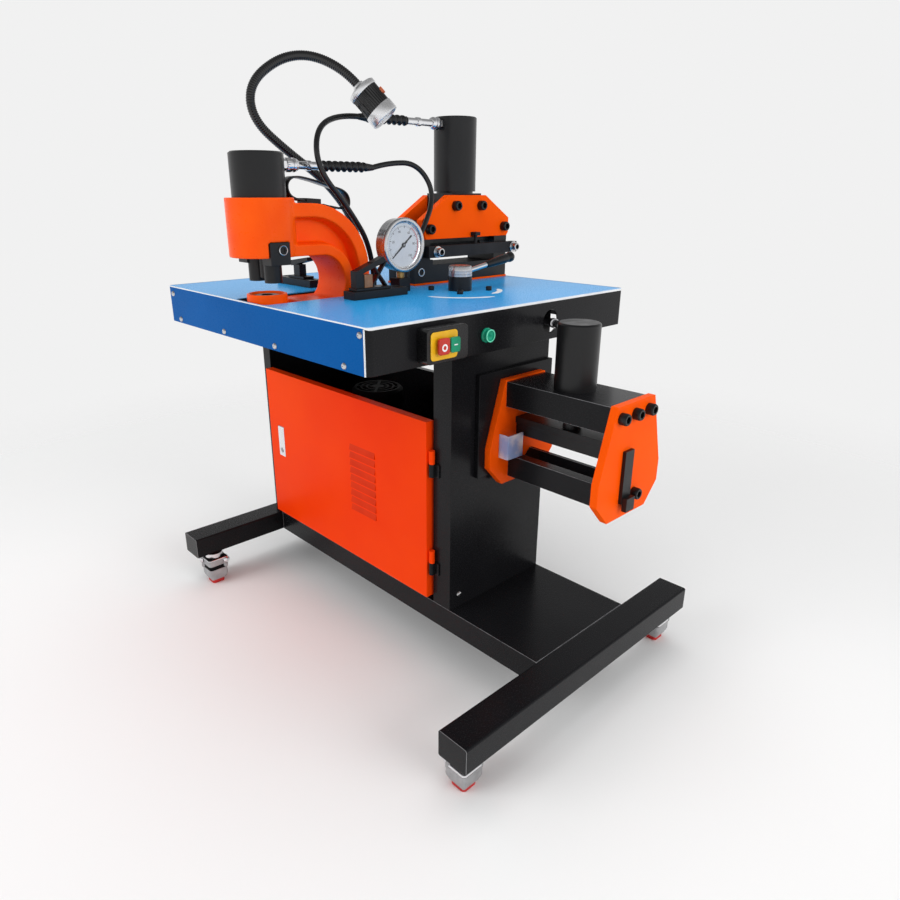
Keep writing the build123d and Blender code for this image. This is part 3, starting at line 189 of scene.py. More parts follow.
addFinish("brushedPlate", (0.8, 0.8, 0.81), (0.72, 0.72, 0.73), 20, (0.3, 0.4), 200, 0.004, metal=0.9)
addFinish("castGrey", (0.48, 0.48, 0.49), (0.34, 0.34, 0.35), 60, (0.34, 0.48), 330, 0.1, metal=0.7)
addFinish("brass", (0.62, 0.38, 0.14), (0.46, 0.26, 0.09), 60, (0.22, 0.38), 500, 0.04, metal=1)
addFinish("copperBlock", (0.4, 0.2, 0.11), (0.27, 0.13, 0.07), 80, (0.38, 0.55), 500, 0.06, metal=0.7)
addFinish("redRubber", (0.55, 0.012, 0.01), (0.36, 0.006, 0.006), 50, (0.42, 0.6), 500, 0.07)
addFinish("blackRubber", (0.0075, 0.0075, 0.008), (0.004, 0.004, 0.0044), 45, (0.26, 0.38), 700, 0.03,
          gloss=0.45)
addFinish("greyNylon", (0.16, 0.16, 0.165), (0.11, 0.11, 0.115), 50, (0.4, 0.55), 500, 0.06)
addFinish("ribbedBlack", (0.005, 0.005, 0.0056), (0.003, 0.003, 0.0034), 45, (0.12, 0.2), 700, 0.02,
          gloss=0.6)
addFinish("blackPlastic", (0.007, 0.007, 0.0078), (0.004, 0.004, 0.0046), 40, (0.24, 0.36), 600, 0.03,
          gloss=0.4)
addFinish("redPlastic", (0.52, 0.026, 0.014), (0.42, 0.017, 0.009), 60, (0.25, 0.36), 600, 0.03)
addFinish("greenPlastic", (0.002, 0.27, 0.14), (0.001, 0.2, 0.1), 60, (0.2, 0.32), 600, 0.03, gloss=0.3)
addFinish("greenLens", (0.006, 0.36, 0.21), (0.003, 0.24, 0.14), 160, (0.1, 0.2), 600, 0.05)
addFinish("lensRim", (0.22, 0.82, 0.58), (0.12, 0.66, 0.44), 120, (0.12, 0.22), 600, 0.03)
addFinish("yellowPlastic", (0.8, 0.46, 0.01), (0.68, 0.36, 0.006), 60, (0.3, 0.42), 600, 0.03)
addFinish("orangePlastic", (0.55, 0.13, 0.05), (0.42, 0.09, 0.03), 70, (0.2, 0.3), 600, 0.02)
addFinish("whiteEdge", (0.86, 0.87, 0.88), (0.74, 0.75, 0.77), 30, (0.34, 0.5), 500, 0.03)
addFinish("dialWhite", (0.62, 0.63, 0.66), (0.57, 0.58, 0.61), 40, (0.42, 0.55), 700, 0.02)
addFinish("markBlack", (0.02, 0.02, 0.022), (0.012, 0.012, 0.013), 90, (0.4, 0.55), 700, 0.02)
addFinish("markRed", (0.6, 0.03, 0.025), (0.5, 0.02, 0.02), 90, (0.4, 0.55), 700, 0.02)
# the guard's clear sheet: its whitish and blue patches are painted highlights and reflections, spread at
# random by the noise
addFinish("clearSheetPaintedSheen", (0.96, 0.93, 0.95), (0.46, 0.6, 0.95), 22, (0.06, 0.14), 60, 0.06, contrast=0.09,
          clear=0.5, ior=1.45)
addFinish("gaugeGlass", (0.97, 0.98, 0.98), (0.94, 0.95, 0.96), 20, (0.0, 0.03), 200, 0.005, clear=1, ior=1.2)
addFinish("lampLens", (0.88, 0.9, 0.92), (0.78, 0.8, 0.83), 120, (0.12, 0.25), 260, 0.12, clear=0.6, ior=1.45)
print("finishes:", len(finishes))


def standIn(piece, *replaced):
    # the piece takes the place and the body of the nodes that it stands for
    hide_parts(*replaced)
    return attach(piece, nodes[replaced[0]]["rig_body"])


def addTo(piece, body):
    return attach(piece, body)


def meshFrom(name, bm, sharp):
    # sharp: edges over this angle stay hard; None leaves them to a bevel
    for face in bm.faces:
        face.smooth = True
    if sharp is not None:
        for edge in bm.edges:
            edge.smooth = edge.calc_face_angle(0) < math.radians(sharp)
    mesh = bpy.data.meshes.new(name)
    bm.to_mesh(mesh)
    bm.free()
    return mesh


def newPiece(name, bm, finish, sharp=hardAngle):
    bmesh.ops.recalc_face_normals(bm, faces=bm.faces)
    return finishPiece(name, meshFrom(name, bm, sharp), finish)


def finishPiece(name, mesh, finish, bevel=0, paintedHighlight=None):
    # the last argument is another finish for the rounded edges: a lighter grey that paints a highlight along
    # them
    worn = [finish] if isinstance(finish, str) else list(finish)
    for one in worn + ([paintedHighlight] if paintedHighlight else []):
        mesh.materials.append(finishes[one])
    piece = linked(name, mesh)
    if bevel:
        rounding = piece.modifiers.new("rounding", "BEVEL")
        rounding.width = bevel / 1000
        rounding.segments = 2
        rounding.limit_method = "ANGLE"
        rounding.angle_limit = math.radians(roundAngle)
        rounding.use_clamp_overlap = False
        rounding.material = len(worn) if paintedHighlight else -1
        even = piece.modifiers.new("even", "WEIGHTED_NORMAL")
        even.weight = 100
        even.keep_sharp = True
    return piece


def softCopy(node, finish, bevel, paint=(), drop=None, extra=None, paintedHighlight=None):
    # merged copy of a node's mesh with rounded edges; paint picks another finish by the face's middle in mm,
    # drop leaves faces out and extra adds shapes in their place
    bm = bmesh.new()
    bm.from_mesh(nodes[node].data)
    bmesh.ops.remove_doubles(bm, verts=bm.verts, dist=mergeGap)
    # where two solids of a node meet at an edge they are parted again, because the bevel leaves a gap there
    bmesh.ops.split_edges(bm, edges=[edge for edge in bm.edges if len(edge.link_faces) > 2])
    bmesh.ops.dissolve_limit(bm, angle_limit=math.radians(flatAngle), verts=bm.verts, edges=bm.edges)
    gone = []
    for face in bm.faces:
        spot = face.calc_center_median() * 1000
        spot.y -= rowShift
        face.material_index = 0
        for number, test in enumerate(paint, start=1):
            if test(spot):
                face.material_index = number
        if drop and drop(spot):
            gone.append(face)
    bmesh.ops.delete(bm, geom=gone, context="FACES")
    if extra:
        extra(bm)
        bmesh.ops.recalc_face_normals(bm, faces=bm.faces)
    mesh = meshFrom(node + "_skin", bm, None if bevel else hardAngle)
    return standIn(finishPiece(node + "_skin", mesh, finish, bevel, paintedHighlight), node)


def plainMesh(piece):
    # evaluates the piece and gives back its finished mesh
    graph = bpy.context.evaluated_depsgraph_get()
    return bpy.data.meshes.new_from_object(piece.evaluated_get(graph), depsgraph=graph)


def castCopy(node, finish, grain, rounds):
    # a casting's soft edges: the node's mesh built anew in small even faces, then smoothed
    holder = linked(node + "_cast", nodes[node].data.copy())
    even = holder.modifiers.new("even", "REMESH")
    even.mode = "VOXEL"
    even.voxel_size = grain / 1000
    soft = holder.modifiers.new("soft", "SMOOTH")
    soft.factor = 0.5
    soft.iterations = rounds
    mesh = plainMesh(holder)
    bpy.data.objects.remove(holder)
    mesh.materials.clear()
    mesh.polygons.foreach_set("use_smooth", [True] * len(mesh.polygons))
    mesh.polygons.foreach_set("material_index", [0] * len(mesh.polygons))
    return standIn(finishPiece(node + "_skin", mesh, finish), node)


def bridge(bm, rows, finish=0, caps=False):
    # faces between each row of points and the next; a row of one point closes to a tip
    for low, high in zip(rows, rows[1:]):
        count = max(len(low), len(high))
        for step in range(count):
            after = (step + 1) % count
            corners = dict.fromkeys((low[step % len(low)], low[after % len(low)],
                                     high[after % len(high)], high[step % len(high)]))
            if len(corners) > 2:
                bm.faces.new(list(corners)).material_index = finish
    if caps:
        for end in (rows[0], rows[-1]):
            bm.faces.new(end).material_index = finish


grooveDepth = {"knurl": 0.7, "flute": 1.3}


def turnInto(bm, profile, start, way, sides=48, finish=0):
    # lathe: (radius, height) pairs in mm along way; a third word makes a ring hexagonal, knurled or fluted
    turn = Vector((0, 0, 1)).rotation_difference(Vector(way).normalized()).to_matrix()
    origin = mm(*start)
    halfFlat = math.pi / 6
    rings = []
    for radius, height, *style in profile:
        if radius < 0.001:
            rings.append([bm.verts.new(origin + turn @ Vector((0, 0, height / 1000)))])
            continue
        ring = []
        for step in range(sides):
            angle = 2 * math.pi * step / sides
            reach = radius
            if style == ["hex"]:
                reach = radius * math.cos(halfFlat) / math.cos((angle + halfFlat) % (2 * halfFlat) - halfFlat)
            if style == ["knurl"] and step % 2 or style == ["flute"] and step % 4 < 2:
                reach = radius - grooveDepth[style[0]]
            spot = Vector((*polar(reach, angle), height)) / 1000
            ring.append(bm.verts.new(origin + turn @ spot))
        rings.append(ring)
    bridge(bm, rings, finish)
    return bm


def slabInto(bm, x, y, z, finish=0):
    made = bmesh.ops.create_cube(bm, size=1)["verts"]
    low, high = mm(x[0], y[0], z[0]), mm(x[1], y[1], z[1])
    for vert in made:
        vert.co = Vector(a + (b - a) * (c + 0.5) for a, b, c in zip(low, high, vert.co))
    for face in {face for vert in made for face in vert.link_faces}:
        face.material_index = finish
    return bm


def prismInto(bm, outline, x, finish=0):
    # (y, z) outline in mm drawn out along X
    bridge(bm, [[bm.verts.new(mm(side, y, z)) for y, z in outline] for side in x], finish, caps=True)


def routeCurve(name, points, thick=0):
    data = bpy.data.curves.new(name, "CURVE")
    data.dimensions = "3D"
    data.resolution_u = 16
    data.bevel_depth = thick / 2000
    data.bevel_resolution = 5
    spline = data.splines.new("NURBS")
    spline.points.add(len(points) - 1)
    for point, place in zip(spline.points, points):
        point.co = (*place, 1)
    spline.order_u = 3
    spline.use_endpoint_u = True
    return linked(name, data)


# hoses: routes in metres, with the ribbed rubber sleeve that each one starts in
hoseSpec = {
    "diameter": 11, "ribs": 7, "sleeveWidth": 21, "groove": 3.6, "crest": 1.4, "overlap": 0.5,
    # the sleeve's end without ribs, and the lengths over which the ribs begin and fade
    "plain": 26, "begin": 4, "fade": 8,
    "punch_hose": {"route": [(-0.120, -0.034, 1.016), (-0.120, 0.005, 1.026), (-0.106, 0.079, 1.028),
                             (-0.086, 0.115, 0.964), (-0.078, 0.065, 0.880), (-0.080, 0.021, 0.830),
                             (-0.080, 0.021, 0.764)],
                   "sleeve": ((-120, -133, 1016), (0, 1, 0), 128), "length": 0.403},
    "cutter_hose": {"route": [(-0.133, -0.056, 1.112), (-0.133, -0.110, 1.112), (-0.100, -0.185, 1.080),
                              (-0.085, -0.195, 1.009), (-0.094, -0.122, 0.941), (-0.109, -0.047, 0.850),
                              (-0.109, -0.047, 0.764)],
                    "sleeve": ((-133, 100, 1112), (0, -1, 0), 127), "length": 0.499},
}


def spiralSleeve(place, way, length, sides=40, step=1.0):
    # rubber sleeve with a spiral rib, tapering to the hose
    crest, plain, fadeOut = hoseSpec["crest"], hoseSpec["plain"], hoseSpec["fade"]
    big = hoseSpec["sleeveWidth"] / 2 - crest
    tail = hoseSpec["diameter"] / 2 + hoseSpec["overlap"]
    pitch = (length - plain) / hoseSpec["ribs"]
    turn = Vector((0, 0, 1)).rotation_difference(Vector(way)).to_matrix()
    origin = mm(*place)
    bm = bmesh.new()
    rings = []
    for row in range(int(length / step) + 1):
        height = row * step
        taper = max(0, (height - length + plain) / plain)
        fade = min(1, height / hoseSpec["begin"], max(0, (length - plain + fadeOut - height) / fadeOut))
        ring = []
        for side in range(sides):
            angle = 2 * math.pi * side / sides
            wave = 0.5 - 0.5 * math.cos(2 * math.pi * height / pitch - angle)
            reach = big * (1 - taper) + tail * taper - fade * (hoseSpec["groove"] * (1 - wave) ** 1.5 - crest)
            spot = Vector((*polar(reach, angle), height))
            ring.append(bm.verts.new(origin + turn @ spot / 1000))
        rings.append(ring)
    bridge(bm, rings, caps=True)
    return bm


for name in ("punch_hose", "cutter_hose"):
    spec = hoseSpec[name]
    hose = routeCurve(name + "_line", spec["route"], hoseSpec["diameter"])
    hose.data.materials.append(finishes["blackRubber"])
    standIn(hose, name)
    sleeve = newPiece(name + "_sleeve", spiralSleeve(*spec["sleeve"]), "blackRubber", sharp=60)
    addTo(sleeve, "stand")
print("hoses laid")


# stand, cabinet and table
def roundLoop(x0, x1, y0, y1, r, steps=6):
    # a rectangle's outline in mm, rounded at the corners
    loop = []
    for cx, cy, start in ((x1 - r, y1 - r, 0), (x0 + r, y1 - r, 90), (x0 + r, y0 + r, 180),
                          (x1 - r, y0 + r, 270)):
        for step in range(steps + 1):
            u, v = polar(r, math.radians(start + 90 * step / steps))
            loop.append((cx + u, cy + v))
    return loop


bandSpec = {
    "x": (-482, 254), "y": (-322, 395), "round": 10, "low": 767.2, "high": 769.3,
    # rows of (distance that the band stands out, share of its height)
    "rows": ((-0.4, 0), (0.5, 0.1), (0.5, 0.86), (-1.2, 1)),
    # lower edge on the right side, and where along X the band widens to it
    "sideLow": 764.2, "widens": (244, 254),
    "coverEnd": ((245.0, 246.0), (-322.5, -319.6), (690, 766)),
}


def edgeBand():
    # a thin pale band round the table's top edge, and a pale strip at the cover's end
    (x0, x1), (y0, y1), (near, far) = bandSpec["x"], bandSpec["y"], bandSpec["widens"]
    bm = bmesh.new()
    rows = []
    for out, rise in bandSpec["rows"]:
        row = []
        for x, y in roundLoop(x0 - out, x1 + out, y0 - out, y1 + out, bandSpec["round"] + out):
            share = min(1, max(0, (x - near) / (far - near)))
            low = bandSpec["low"] + (bandSpec["sideLow"] - bandSpec["low"]) * share
            row.append(bm.verts.new(mm(x, y, low + (bandSpec["high"] - low) * rise)))
        rows.append(row)
    bridge(bm, rows)
    slabInto(bm, *bandSpec["coverEnd"])
    addTo(newPiece("table_edge_band", bm, "whiteEdge"), "stand")


louvreDepth = -112.3
# the frame's rounded edges wear the light grey of a painted highlight
softCopy("base_frame", "blackPaint", 0.5, paintedHighlight="paintedEdgeHighlight")
softCopy("cabinet_panels", "blackPaint", 0.6)
softCopy("bender_mount", "blackPaint", 1.0)
# door faces standing out past louvreDepth, the louvres, wear the darker red: painted shade
softCopy("door", ["orangePaint", "louvrePaintedShade"], 0.2, [lambda spot: spot.y < louvreDepth])
softCopy("door_hinges", "blackPaint", 0.5)
softCopy("table_pan", "blackPaint", 0.5)
softCopy("table_top", "blueSheet", 0)
# the front cover wears the darker copy of the blue: painted shade
softCopy("front_cover", "blueCoverPaintedShade", 0.3)
edgeBand()
softCopy("oil_tank", "dullBlack", 0.8)
softCopy("pump_motor", "dullBlack", 0.4)
softCopy("motor_fan", "dullBlack", 0)

casterSpec = {
    "finishes": ["castGrey", "dullBlack", "brightPlate"], "corner": 7, "turn": 48,
    # heights between which the body is dark, and bright
    "dark": (71.6, 72.4), "bright": (74, 86), "padTop": 22.5,
    # rings of (half width, height) round each housing, with the finish of each
    "rings": [([(23.1, 19.5), (24.4, 24), (24.4, 42.2), (23.6, 43), (21, 43), (21, 19.5)], 0),
              # the dull black ring in the groove between the housing's halves is painted shade
              ([(24.15, 42.6), (24.15, 54), (21, 54), (21, 42.6)], 1),
              ([(24.4, 53.4), (25.2, 54.2), (25.2, 69.8), (21, 69.8), (21, 53.4)], 0),
              ([(25.6, 69.6), (26, 70), (26, 72), (25.4, 72.6), (20, 72.6), (20, 69.6)], 2),
              ([(24.8, 72.4), (24.8, 73.4), (20, 73.4), (20, 72.4)], 1)],
    # the band between the housing's halves: a plated lip, or open as on the left front caster
    "open": "2",
    "lip": ([(24.6, 44.4), (25.6, 45), (26, 46), (26, 49), (25.6, 50), (24.6, 50.6), (21, 50.6), (21, 44.4)],
            2),
    # ear bosses: height on the housing, profile, finish
    "ears": [(63, [(0, 26), (9.4, 26), (10, 27), (10, 34), (9, 35.4), (5.6, 35.6), (5.2, 36), (5.2, 38.4),
                   (4.4, 39), (0, 39)], 2),
             (47, [(0, 23), (7.4, 23), (8, 24), (8, 31), (7, 32.4), (0, 32.4)], 0),
             (63, [(0, 24.4), (10.8, 24.4), (10.8, 26.4), (0, 26.4)], 1),
             (47, [(0, 22), (8.8, 22), (8.8, 24.2), (0, 24.2)], 1)],
}


def between(spot, span):
    return span[0] < spot.z < span[1]


softCopy("caster_bodies", casterSpec["finishes"], 0, [lambda spot: between(spot, casterSpec["dark"]),
                                                      lambda spot: between(spot, casterSpec["bright"])])
for number in "1234":
    softCopy("caster_wheel_" + number, "greyNylon", 0)
    softCopy("caster_pad_" + number, ["redRubber", "bareSteel"], 1.0,
             [lambda spot: spot.z > casterSpec["padTop"]])
softCopy("lock_handle", "brightPlate", 0.6)


def casterTrim():
    bm = bmesh.new()
    for number in "1234":
        low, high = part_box("caster_pad_" + number)
        x, y = (low[0] + high[0]) * 500, (low[1] + high[1]) * 500 - rowShift
        lips = [] if number == casterSpec["open"] else [casterSpec["lip"]]
        for levels, finish in casterSpec["rings"] + lips:
            rows = []
            for half, z in levels:
                loop = roundLoop(x - half, x + half, y - half, y + half, casterSpec["corner"], 4)
                rows.append([bm.verts.new(mm(u, v, z)) for u, v in loop])
            bridge(bm, rows + rows[:1], finish)
        for side in (0, math.pi):
            angle = math.radians(casterSpec["turn"]) + side
            for z, profile, finish in casterSpec["ears"]:
                turnInto(bm, profile, (x, y, z), (*polar(1, angle), 0), 28, finish)
    addTo(newPiece("caster_trim", bm, casterSpec["finishes"]), "stand")


casterTrim()
print("stand, cabinet and table dressed")

# punching station
castCopy("punch_frame", "castOrange", grain=2.0, rounds=6)
softCopy("punch_cylinder", "turnedBlack", 0)
softCopy("punch_ram", "blackOxide", 0)
softCopy("punch_strippers", "blackOxide", 0.6)
softCopy("punch_die", "blackOxide", 0.4)

strapSpec = {
    "width": 28, "thick": 3.6, "chamfer": (0.6, 0.7), "x": -120, "clampHalf": 17,
    "line": [(-152, 952), (-190, 952), (-217, 960), (-223, 982), (-207, 997), (-170, 992), (-120, 979),
             (-88, 971), (-76, 956), (-79, 936), (-104, 937), (-124, 941)],
    "clamps": [[(-183, 944), (-183, 957), (-150, 955), (-150, 937)],
               [(-144, 931), (-144, 946), (-116, 940), (-116, 917)]],
}


def carryStrap():
    x, clampHalf = strapSpec["x"], strapSpec["clampHalf"]
    route = routeCurve("strapRoute", [mm(x, y, z) for y, z in strapSpec["line"]])
    line = [vert.co.copy() for vert in plainMesh(route).vertices]
    bpy.data.objects.remove(route)
    half, thin = strapSpec["width"] / 2000, strapSpec["thick"] / 2000
    rise, inset = (share * thin for share in strapSpec["chamfer"])
    flat = half - inset
    section = [(-half, -rise), (-flat, -thin), (flat, -thin), (half, -rise),
               (half, rise), (flat, thin), (-flat, thin), (-half, rise)]
    bm = bmesh.new()
    rings = []
    for number, spot in enumerate(line):
        along = (line[min(number + 1, len(line) - 1)] - line[max(number - 1, 0)]).normalized()
        out = Vector((1, 0, 0)).cross(along)
        rings.append([bm.verts.new(spot + Vector((u, 0, 0)) + out * v) for u, v in section])
    bridge(bm, rings, caps=True)
    for outline in strapSpec["clamps"]:
        prismInto(bm, outline, (x - clampHalf, x + clampHalf), 1)
    standIn(newPiece("carry_strap", bm, ["blackRubber", "blackOxide"]), "carry_handle")


carryStrap()


# node trees
def startTree(name, first, inputs, made):
    # gives back the tree, the identifiers of its inputs, its maker of nodes and the outputs of its input node
    tree = bpy.data.node_groups.new(name, "GeometryNodeTree")
    known = {}
    for label, kind in ((first, "Geometry"), *inputs.items()):
        socket = tree.interface.new_socket(label, in_out="INPUT", socket_type="NodeSocket" + kind)
        known[label] = socket.identifier
    tree.interface.new_socket(made, in_out="OUTPUT", socket_type="NodeSocketGeometry")
    add = adderFor(tree)
    return tree, known, add, add("NodeGroupInput").outputs


def endTree(add, given, shape):
    # every tree ends in plain geometry that wears its finish
    real = add("GeometryNodeRealizeInstances", {"Geometry": shape}).outputs["Geometry"]
    worn = add("GeometryNodeSetMaterial", {"Geometry": real, "Material": given["Finish"]})
    add("NodeGroupOutput", {0: worn.outputs["Geometry"]})


def stamp(add, given, points, shape, turn, size):
    # the tree's last step where it puts one shape on many points
    put = add("GeometryNodeInstanceOnPoints", {"Points": points, "Instance": shape, "Rotation": turn,
                                               "Scale": size})
    endTree(add, given, put.outputs["Instances"])


def calc(add, operation, first, second=0):
    return add("ShaderNodeMath", {0: first, 1: second}, operation=operation).outputs[0]


def combine(add, *values):
    return add("ShaderNodeCombineXYZ", dict(enumerate(values))).outputs[0]


def runTree(piece, tree, inputs, values):
    modifier = piece.modifiers.new("tree", "NODES")
    modifier.node_group = tree
    for label, value in values.items():
        modifier[inputs[label]] = value
    mesh = plainMesh(piece)
    bpy.data.objects.remove(piece)
    return mesh


# bolts and screws: one tree puts a head on every marked point, turned to face outwards
def headTree():
    tree, known, add, given = startTree("headsOnPoints", "Points", {
        "Head": "Object", "Size": "Float", "Seed": "Int", "Finish": "Material"}, "Heads")
    head = add("GeometryNodeObjectInfo", {"Object": given["Head"]})
    facing = add("GeometryNodeInputNamedAttribute", {"Name": "facing"}, data_type="FLOAT_VECTOR")
    aim = add("FunctionNodeAlignRotationToVector", {"Vector": facing.outputs["Attribute"]}, axis="Z")
    chance = add("FunctionNodeRandomValue", {"Seed": given["Seed"]}, data_type="FLOAT")
    spin = add("FunctionNodeAxisAngleToRotation", {"Angle": chance.outputs[1]})
    both = add("FunctionNodeRotateRotation", {"Rotation": aim.outputs["Rotation"],
                                              "Rotate By": spin.outputs["Rotation"]}, rotation_space="LOCAL")
    stamp(add, given, given["Points"], head.outputs["Geometry"], both.outputs["Rotation"], given["Size"])
    return tree, known


headsOnPoints, headInputs = headTree()


def placeHeads(bm, name, places, head, size, seed, finish):
    # adds the heads to bm; places: (x, y, z) in mm and the way that the head faces
    points = bpy.data.meshes.new(name + "Points")
    points.from_pydata([mm(*spot) for spot, way in places], [], [])
    facing = points.attributes.new("facing", "FLOAT_VECTOR", "POINT")
    for row, (spot, way) in zip(facing.data, places):
        row.vector = way
    bm.from_mesh(runTree(linked(name + "Points", points), headsOnPoints, headInputs,
                         {"Head": head, "Size": size, "Seed": seed, "Finish": finishes[finish]}))


def headModel(name, profile, sides=24):
    # a head at the origin, 1 m standing for its diameter
    large = [(r * 1000, h * 1000, *style) for r, h, *style in profile]
    bm = turnInto(bmesh.new(), large, (0, -rowShift, 0), (0, 0, 1), sides)
    bmesh.ops.recalc_face_normals(bm, faces=bm.faces)
    return linked(name, meshFrom(name, bm, hardAngle))


boltSpec = {
    "heads": {
        "socketHead": [(0, 0), (0.49, 0), (0.5, 0.04, "knurl"), (0.5, 0.52, "knurl"), (0.47, 0.60),
                       (0.43, 0.655), (0.33, 0.66), (0.31, 0.645, "hex"), (0.30, 0.34, "hex"), (0, 0.30)],
        "domeHead": [(0, 0), (0.5, 0), (0.485, 0.09), (0.42, 0.20), (0.30, 0.29), (0.16, 0.335),
                     (0.10, 0.33, "hex"), (0.08, 0.20, "hex"), (0, 0.19)],
        "ringHead": [(0.36, 0), (0.5, 0), (0.5, 0.12), (0.48, 0.16), (0.44, 0.18), (0.40, 0.17),
                     (0.37, 0.12), (0.36, 0)],
        "socketCup": [(0, 0), (0.365, 0), (0.365, 0.13), (0.30, 0.14), (0.22, 0.13, "hex"),
                      (0.21, 0.04, "hex"), (0, 0.03)],
    },
    "bigSize": 0.022, "bigSeed": 3,
    "cutter": {"x": (-178, -88), "middle": -133, "spots": [(208, 939), (292, 939), (125, 890), (375, 890)]},
    "bender": {"x": 494, "spots": [(40, 600), (84, 600), (128, 600), (104, 442)]},
    "valve": {"z": 769, "middle": (32, 106), "half": 44, "size": 0.013, "seed": 5},
    "cover": {"y": -322, "spots": [(-455, 753), (-429, 699), (-224, 699), (-26, 699), (191, 699), (236, 756)],
              "size": 0.012, "seed": 7},
    "cabinet": ((215, -70, 168), (1, 0, 0)),
    "stripper": {"x": -120, "half": 62, "y": -271, "z": 866, "size": 0.019, "seed": 9},
}


def boltsAndScrews():
    heads = {name: headModel(name, profile) for name, profile in boltSpec["heads"].items()}
    cutter, bender, valve, cover, stripper = (
        boltSpec[key] for key in ("cutter", "bender", "valve", "cover", "stripper"))
    big = [((x, y, z), (math.copysign(1, x - cutter["middle"]), 0, 0))
           for x in cutter["x"] for y, z in cutter["spots"]]
    big += [((bender["x"], y, z), (1, 0, 0)) for y, z in bender["spots"]]
    (cx, cy), half = valve["middle"], valve["half"]
    small = [((cx + sx * half, cy + sy * half, valve["z"]), (0, 0, 1))
             for sx, sy in ((-1, -1), (1, -1), (1, 1), (-1, 1))]
    joined = bmesh.new()
    placeHeads(joined, "bigBolts", big, heads["socketHead"], boltSpec["bigSize"], boltSpec["bigSeed"],
               "blackOxide")
    placeHeads(joined, "valveBolts", small, heads["socketHead"], valve["size"], valve["seed"], "blackOxide")
    standIn(newPiece("black_bolts_set", joined, "blackOxide"), "black_bolts")
    front = [((x, cover["y"], z), (0, -1, 0)) for x, z in cover["spots"]] + [boltSpec["cabinet"]]
    side = [((stripper["x"] + way * stripper["half"], stripper["y"], stripper["z"]), (way, 0, 0))
            for way in (-1, 1)]
    joined = bmesh.new()
    size, seed = stripper["size"], stripper["seed"]
    placeHeads(joined, "coverScrews", front, heads["domeHead"], cover["size"], cover["seed"], "bareSteel")
    placeHeads(joined, "stripperRings", side, heads["ringHead"], size, seed, "bareSteel")
    bright = len(joined.faces)
    placeHeads(joined, "stripperSockets", side, heads["socketCup"], size, seed, "blackOxide")
    for number, face in enumerate(joined.faces):
        face.material_index = int(number >= bright)
    standIn(newPiece("steel_screws_set", joined, ["satinAlloy", "blackOxide"]), "steel_screws")
    for model in heads.values():
        bpy.data.objects.remove(model)


boltsAndScrews()
print("bolts and screws set")

# cutting station
clampSpec = {
    "face": -69.7, "keep": -69.6, "spots": ((135, 841.5), (394, 841.5)),
    "flange": [(0, 0), (12.6, 0), (13, 0.5), (13, 2.4), (12.4, 3), (9.2, 3.2), (9.4, 4), (9.4, 13),
               (8.6, 14.6), (7.6, 15), (6, 15)],
    "socket": [(6, 15), (5.6, 14.8, "hex"), (5.4, 8, "hex"), (0, 7.4)],
    "plug": (-88, 101.5, 797.7),
    "plugRing": [(6.6, 0.05), (9.6, 0.05), (9.6, 1.4), (9, 2), (7.2, 2), (6.6, 1.2)],
}


def clampScrews(bm):
    # flanged socket screws: satin head, dark socket
    for y, z in clampSpec["spots"]:
        for part, finish in (("flange", 1), ("socket", 0)):
            turnInto(bm, clampSpec[part], (clampSpec["face"], y, z), (1, 0, 0), 36, finish)


slotHeights = (810, 814)
softCopy("cutter_plates", "plateOrange", 0.7)
softCopy("cutter_die_block", ["blackOxide", "dullBlack"], 0.2, [lambda spot: between(spot, slotHeights)])
softCopy("cutter_cylinder", "turnedBlack", 0)
softCopy("cutter_blade", "blackOxide", 0.4)
softCopy("cutter_clamp_bar", ["dullSteel", "satinAlloy"], 0, drop=lambda spot: spot.x > clampSpec["keep"],
         extra=clampScrews)
plug = turnInto(bmesh.new(), clampSpec["plugRing"], clampSpec["plug"], (1, 0, 0), 40)
addTo(newPiece("block_plug_ring", plug, "satinAlloy"), "stand")

# couplers: start, way, length of the first rings, whole length
couplerSpec = {
    "punch": ((-120, -230, 1016), (0, 1, 0), 40, 97),
    "cutter": ((-133, 205, 1112), (0, -1, 0), 32, 105),
    "bender": ((327.11, 102.64, 726), (-0.9135, 0.4067, 0), 28, 89.9),
}
drawnRing = 40  # length of the first rings in the profile


def couplerProfile(ring, length):
    s = ring / drawnRing
    return [(0, 0), (9, 0), (9, 5 * s), (12.4, 5.2 * s, "hex"), (12.4, 12 * s, "hex"), (10.4, 12.4 * s),
            (10.4, 14 * s), (12.8, 14.3 * s, "knurl"), (13, 15 * s, "knurl"), (13, 25 * s, "knurl"),
            (12.6, 25.6 * s), (11, 26 * s), (11, 28 * s), (12.9, 28.4 * s), (13, 29 * s), (13, 33 * s),
            (12.2, 34 * s), (11.6, 38 * s), (10.2, 40 * s), (7.6, 41 * s), (7.5, 42 * s),
            (7.5, 0.62 * length), (9.4, 0.63 * length), (9.6, 0.66 * length), (9.4, 0.72 * length),
            (7.6, 0.73 * length), (7.6, length), (0, length)]


couplers = bmesh.new()
for place, way, ring, length in couplerSpec.values():
    turnInto(couplers, couplerProfile(ring, length), place, way)
standIn(newPiece("hose_coupler_set", couplers, "brightPlate"), "hose_couplers")

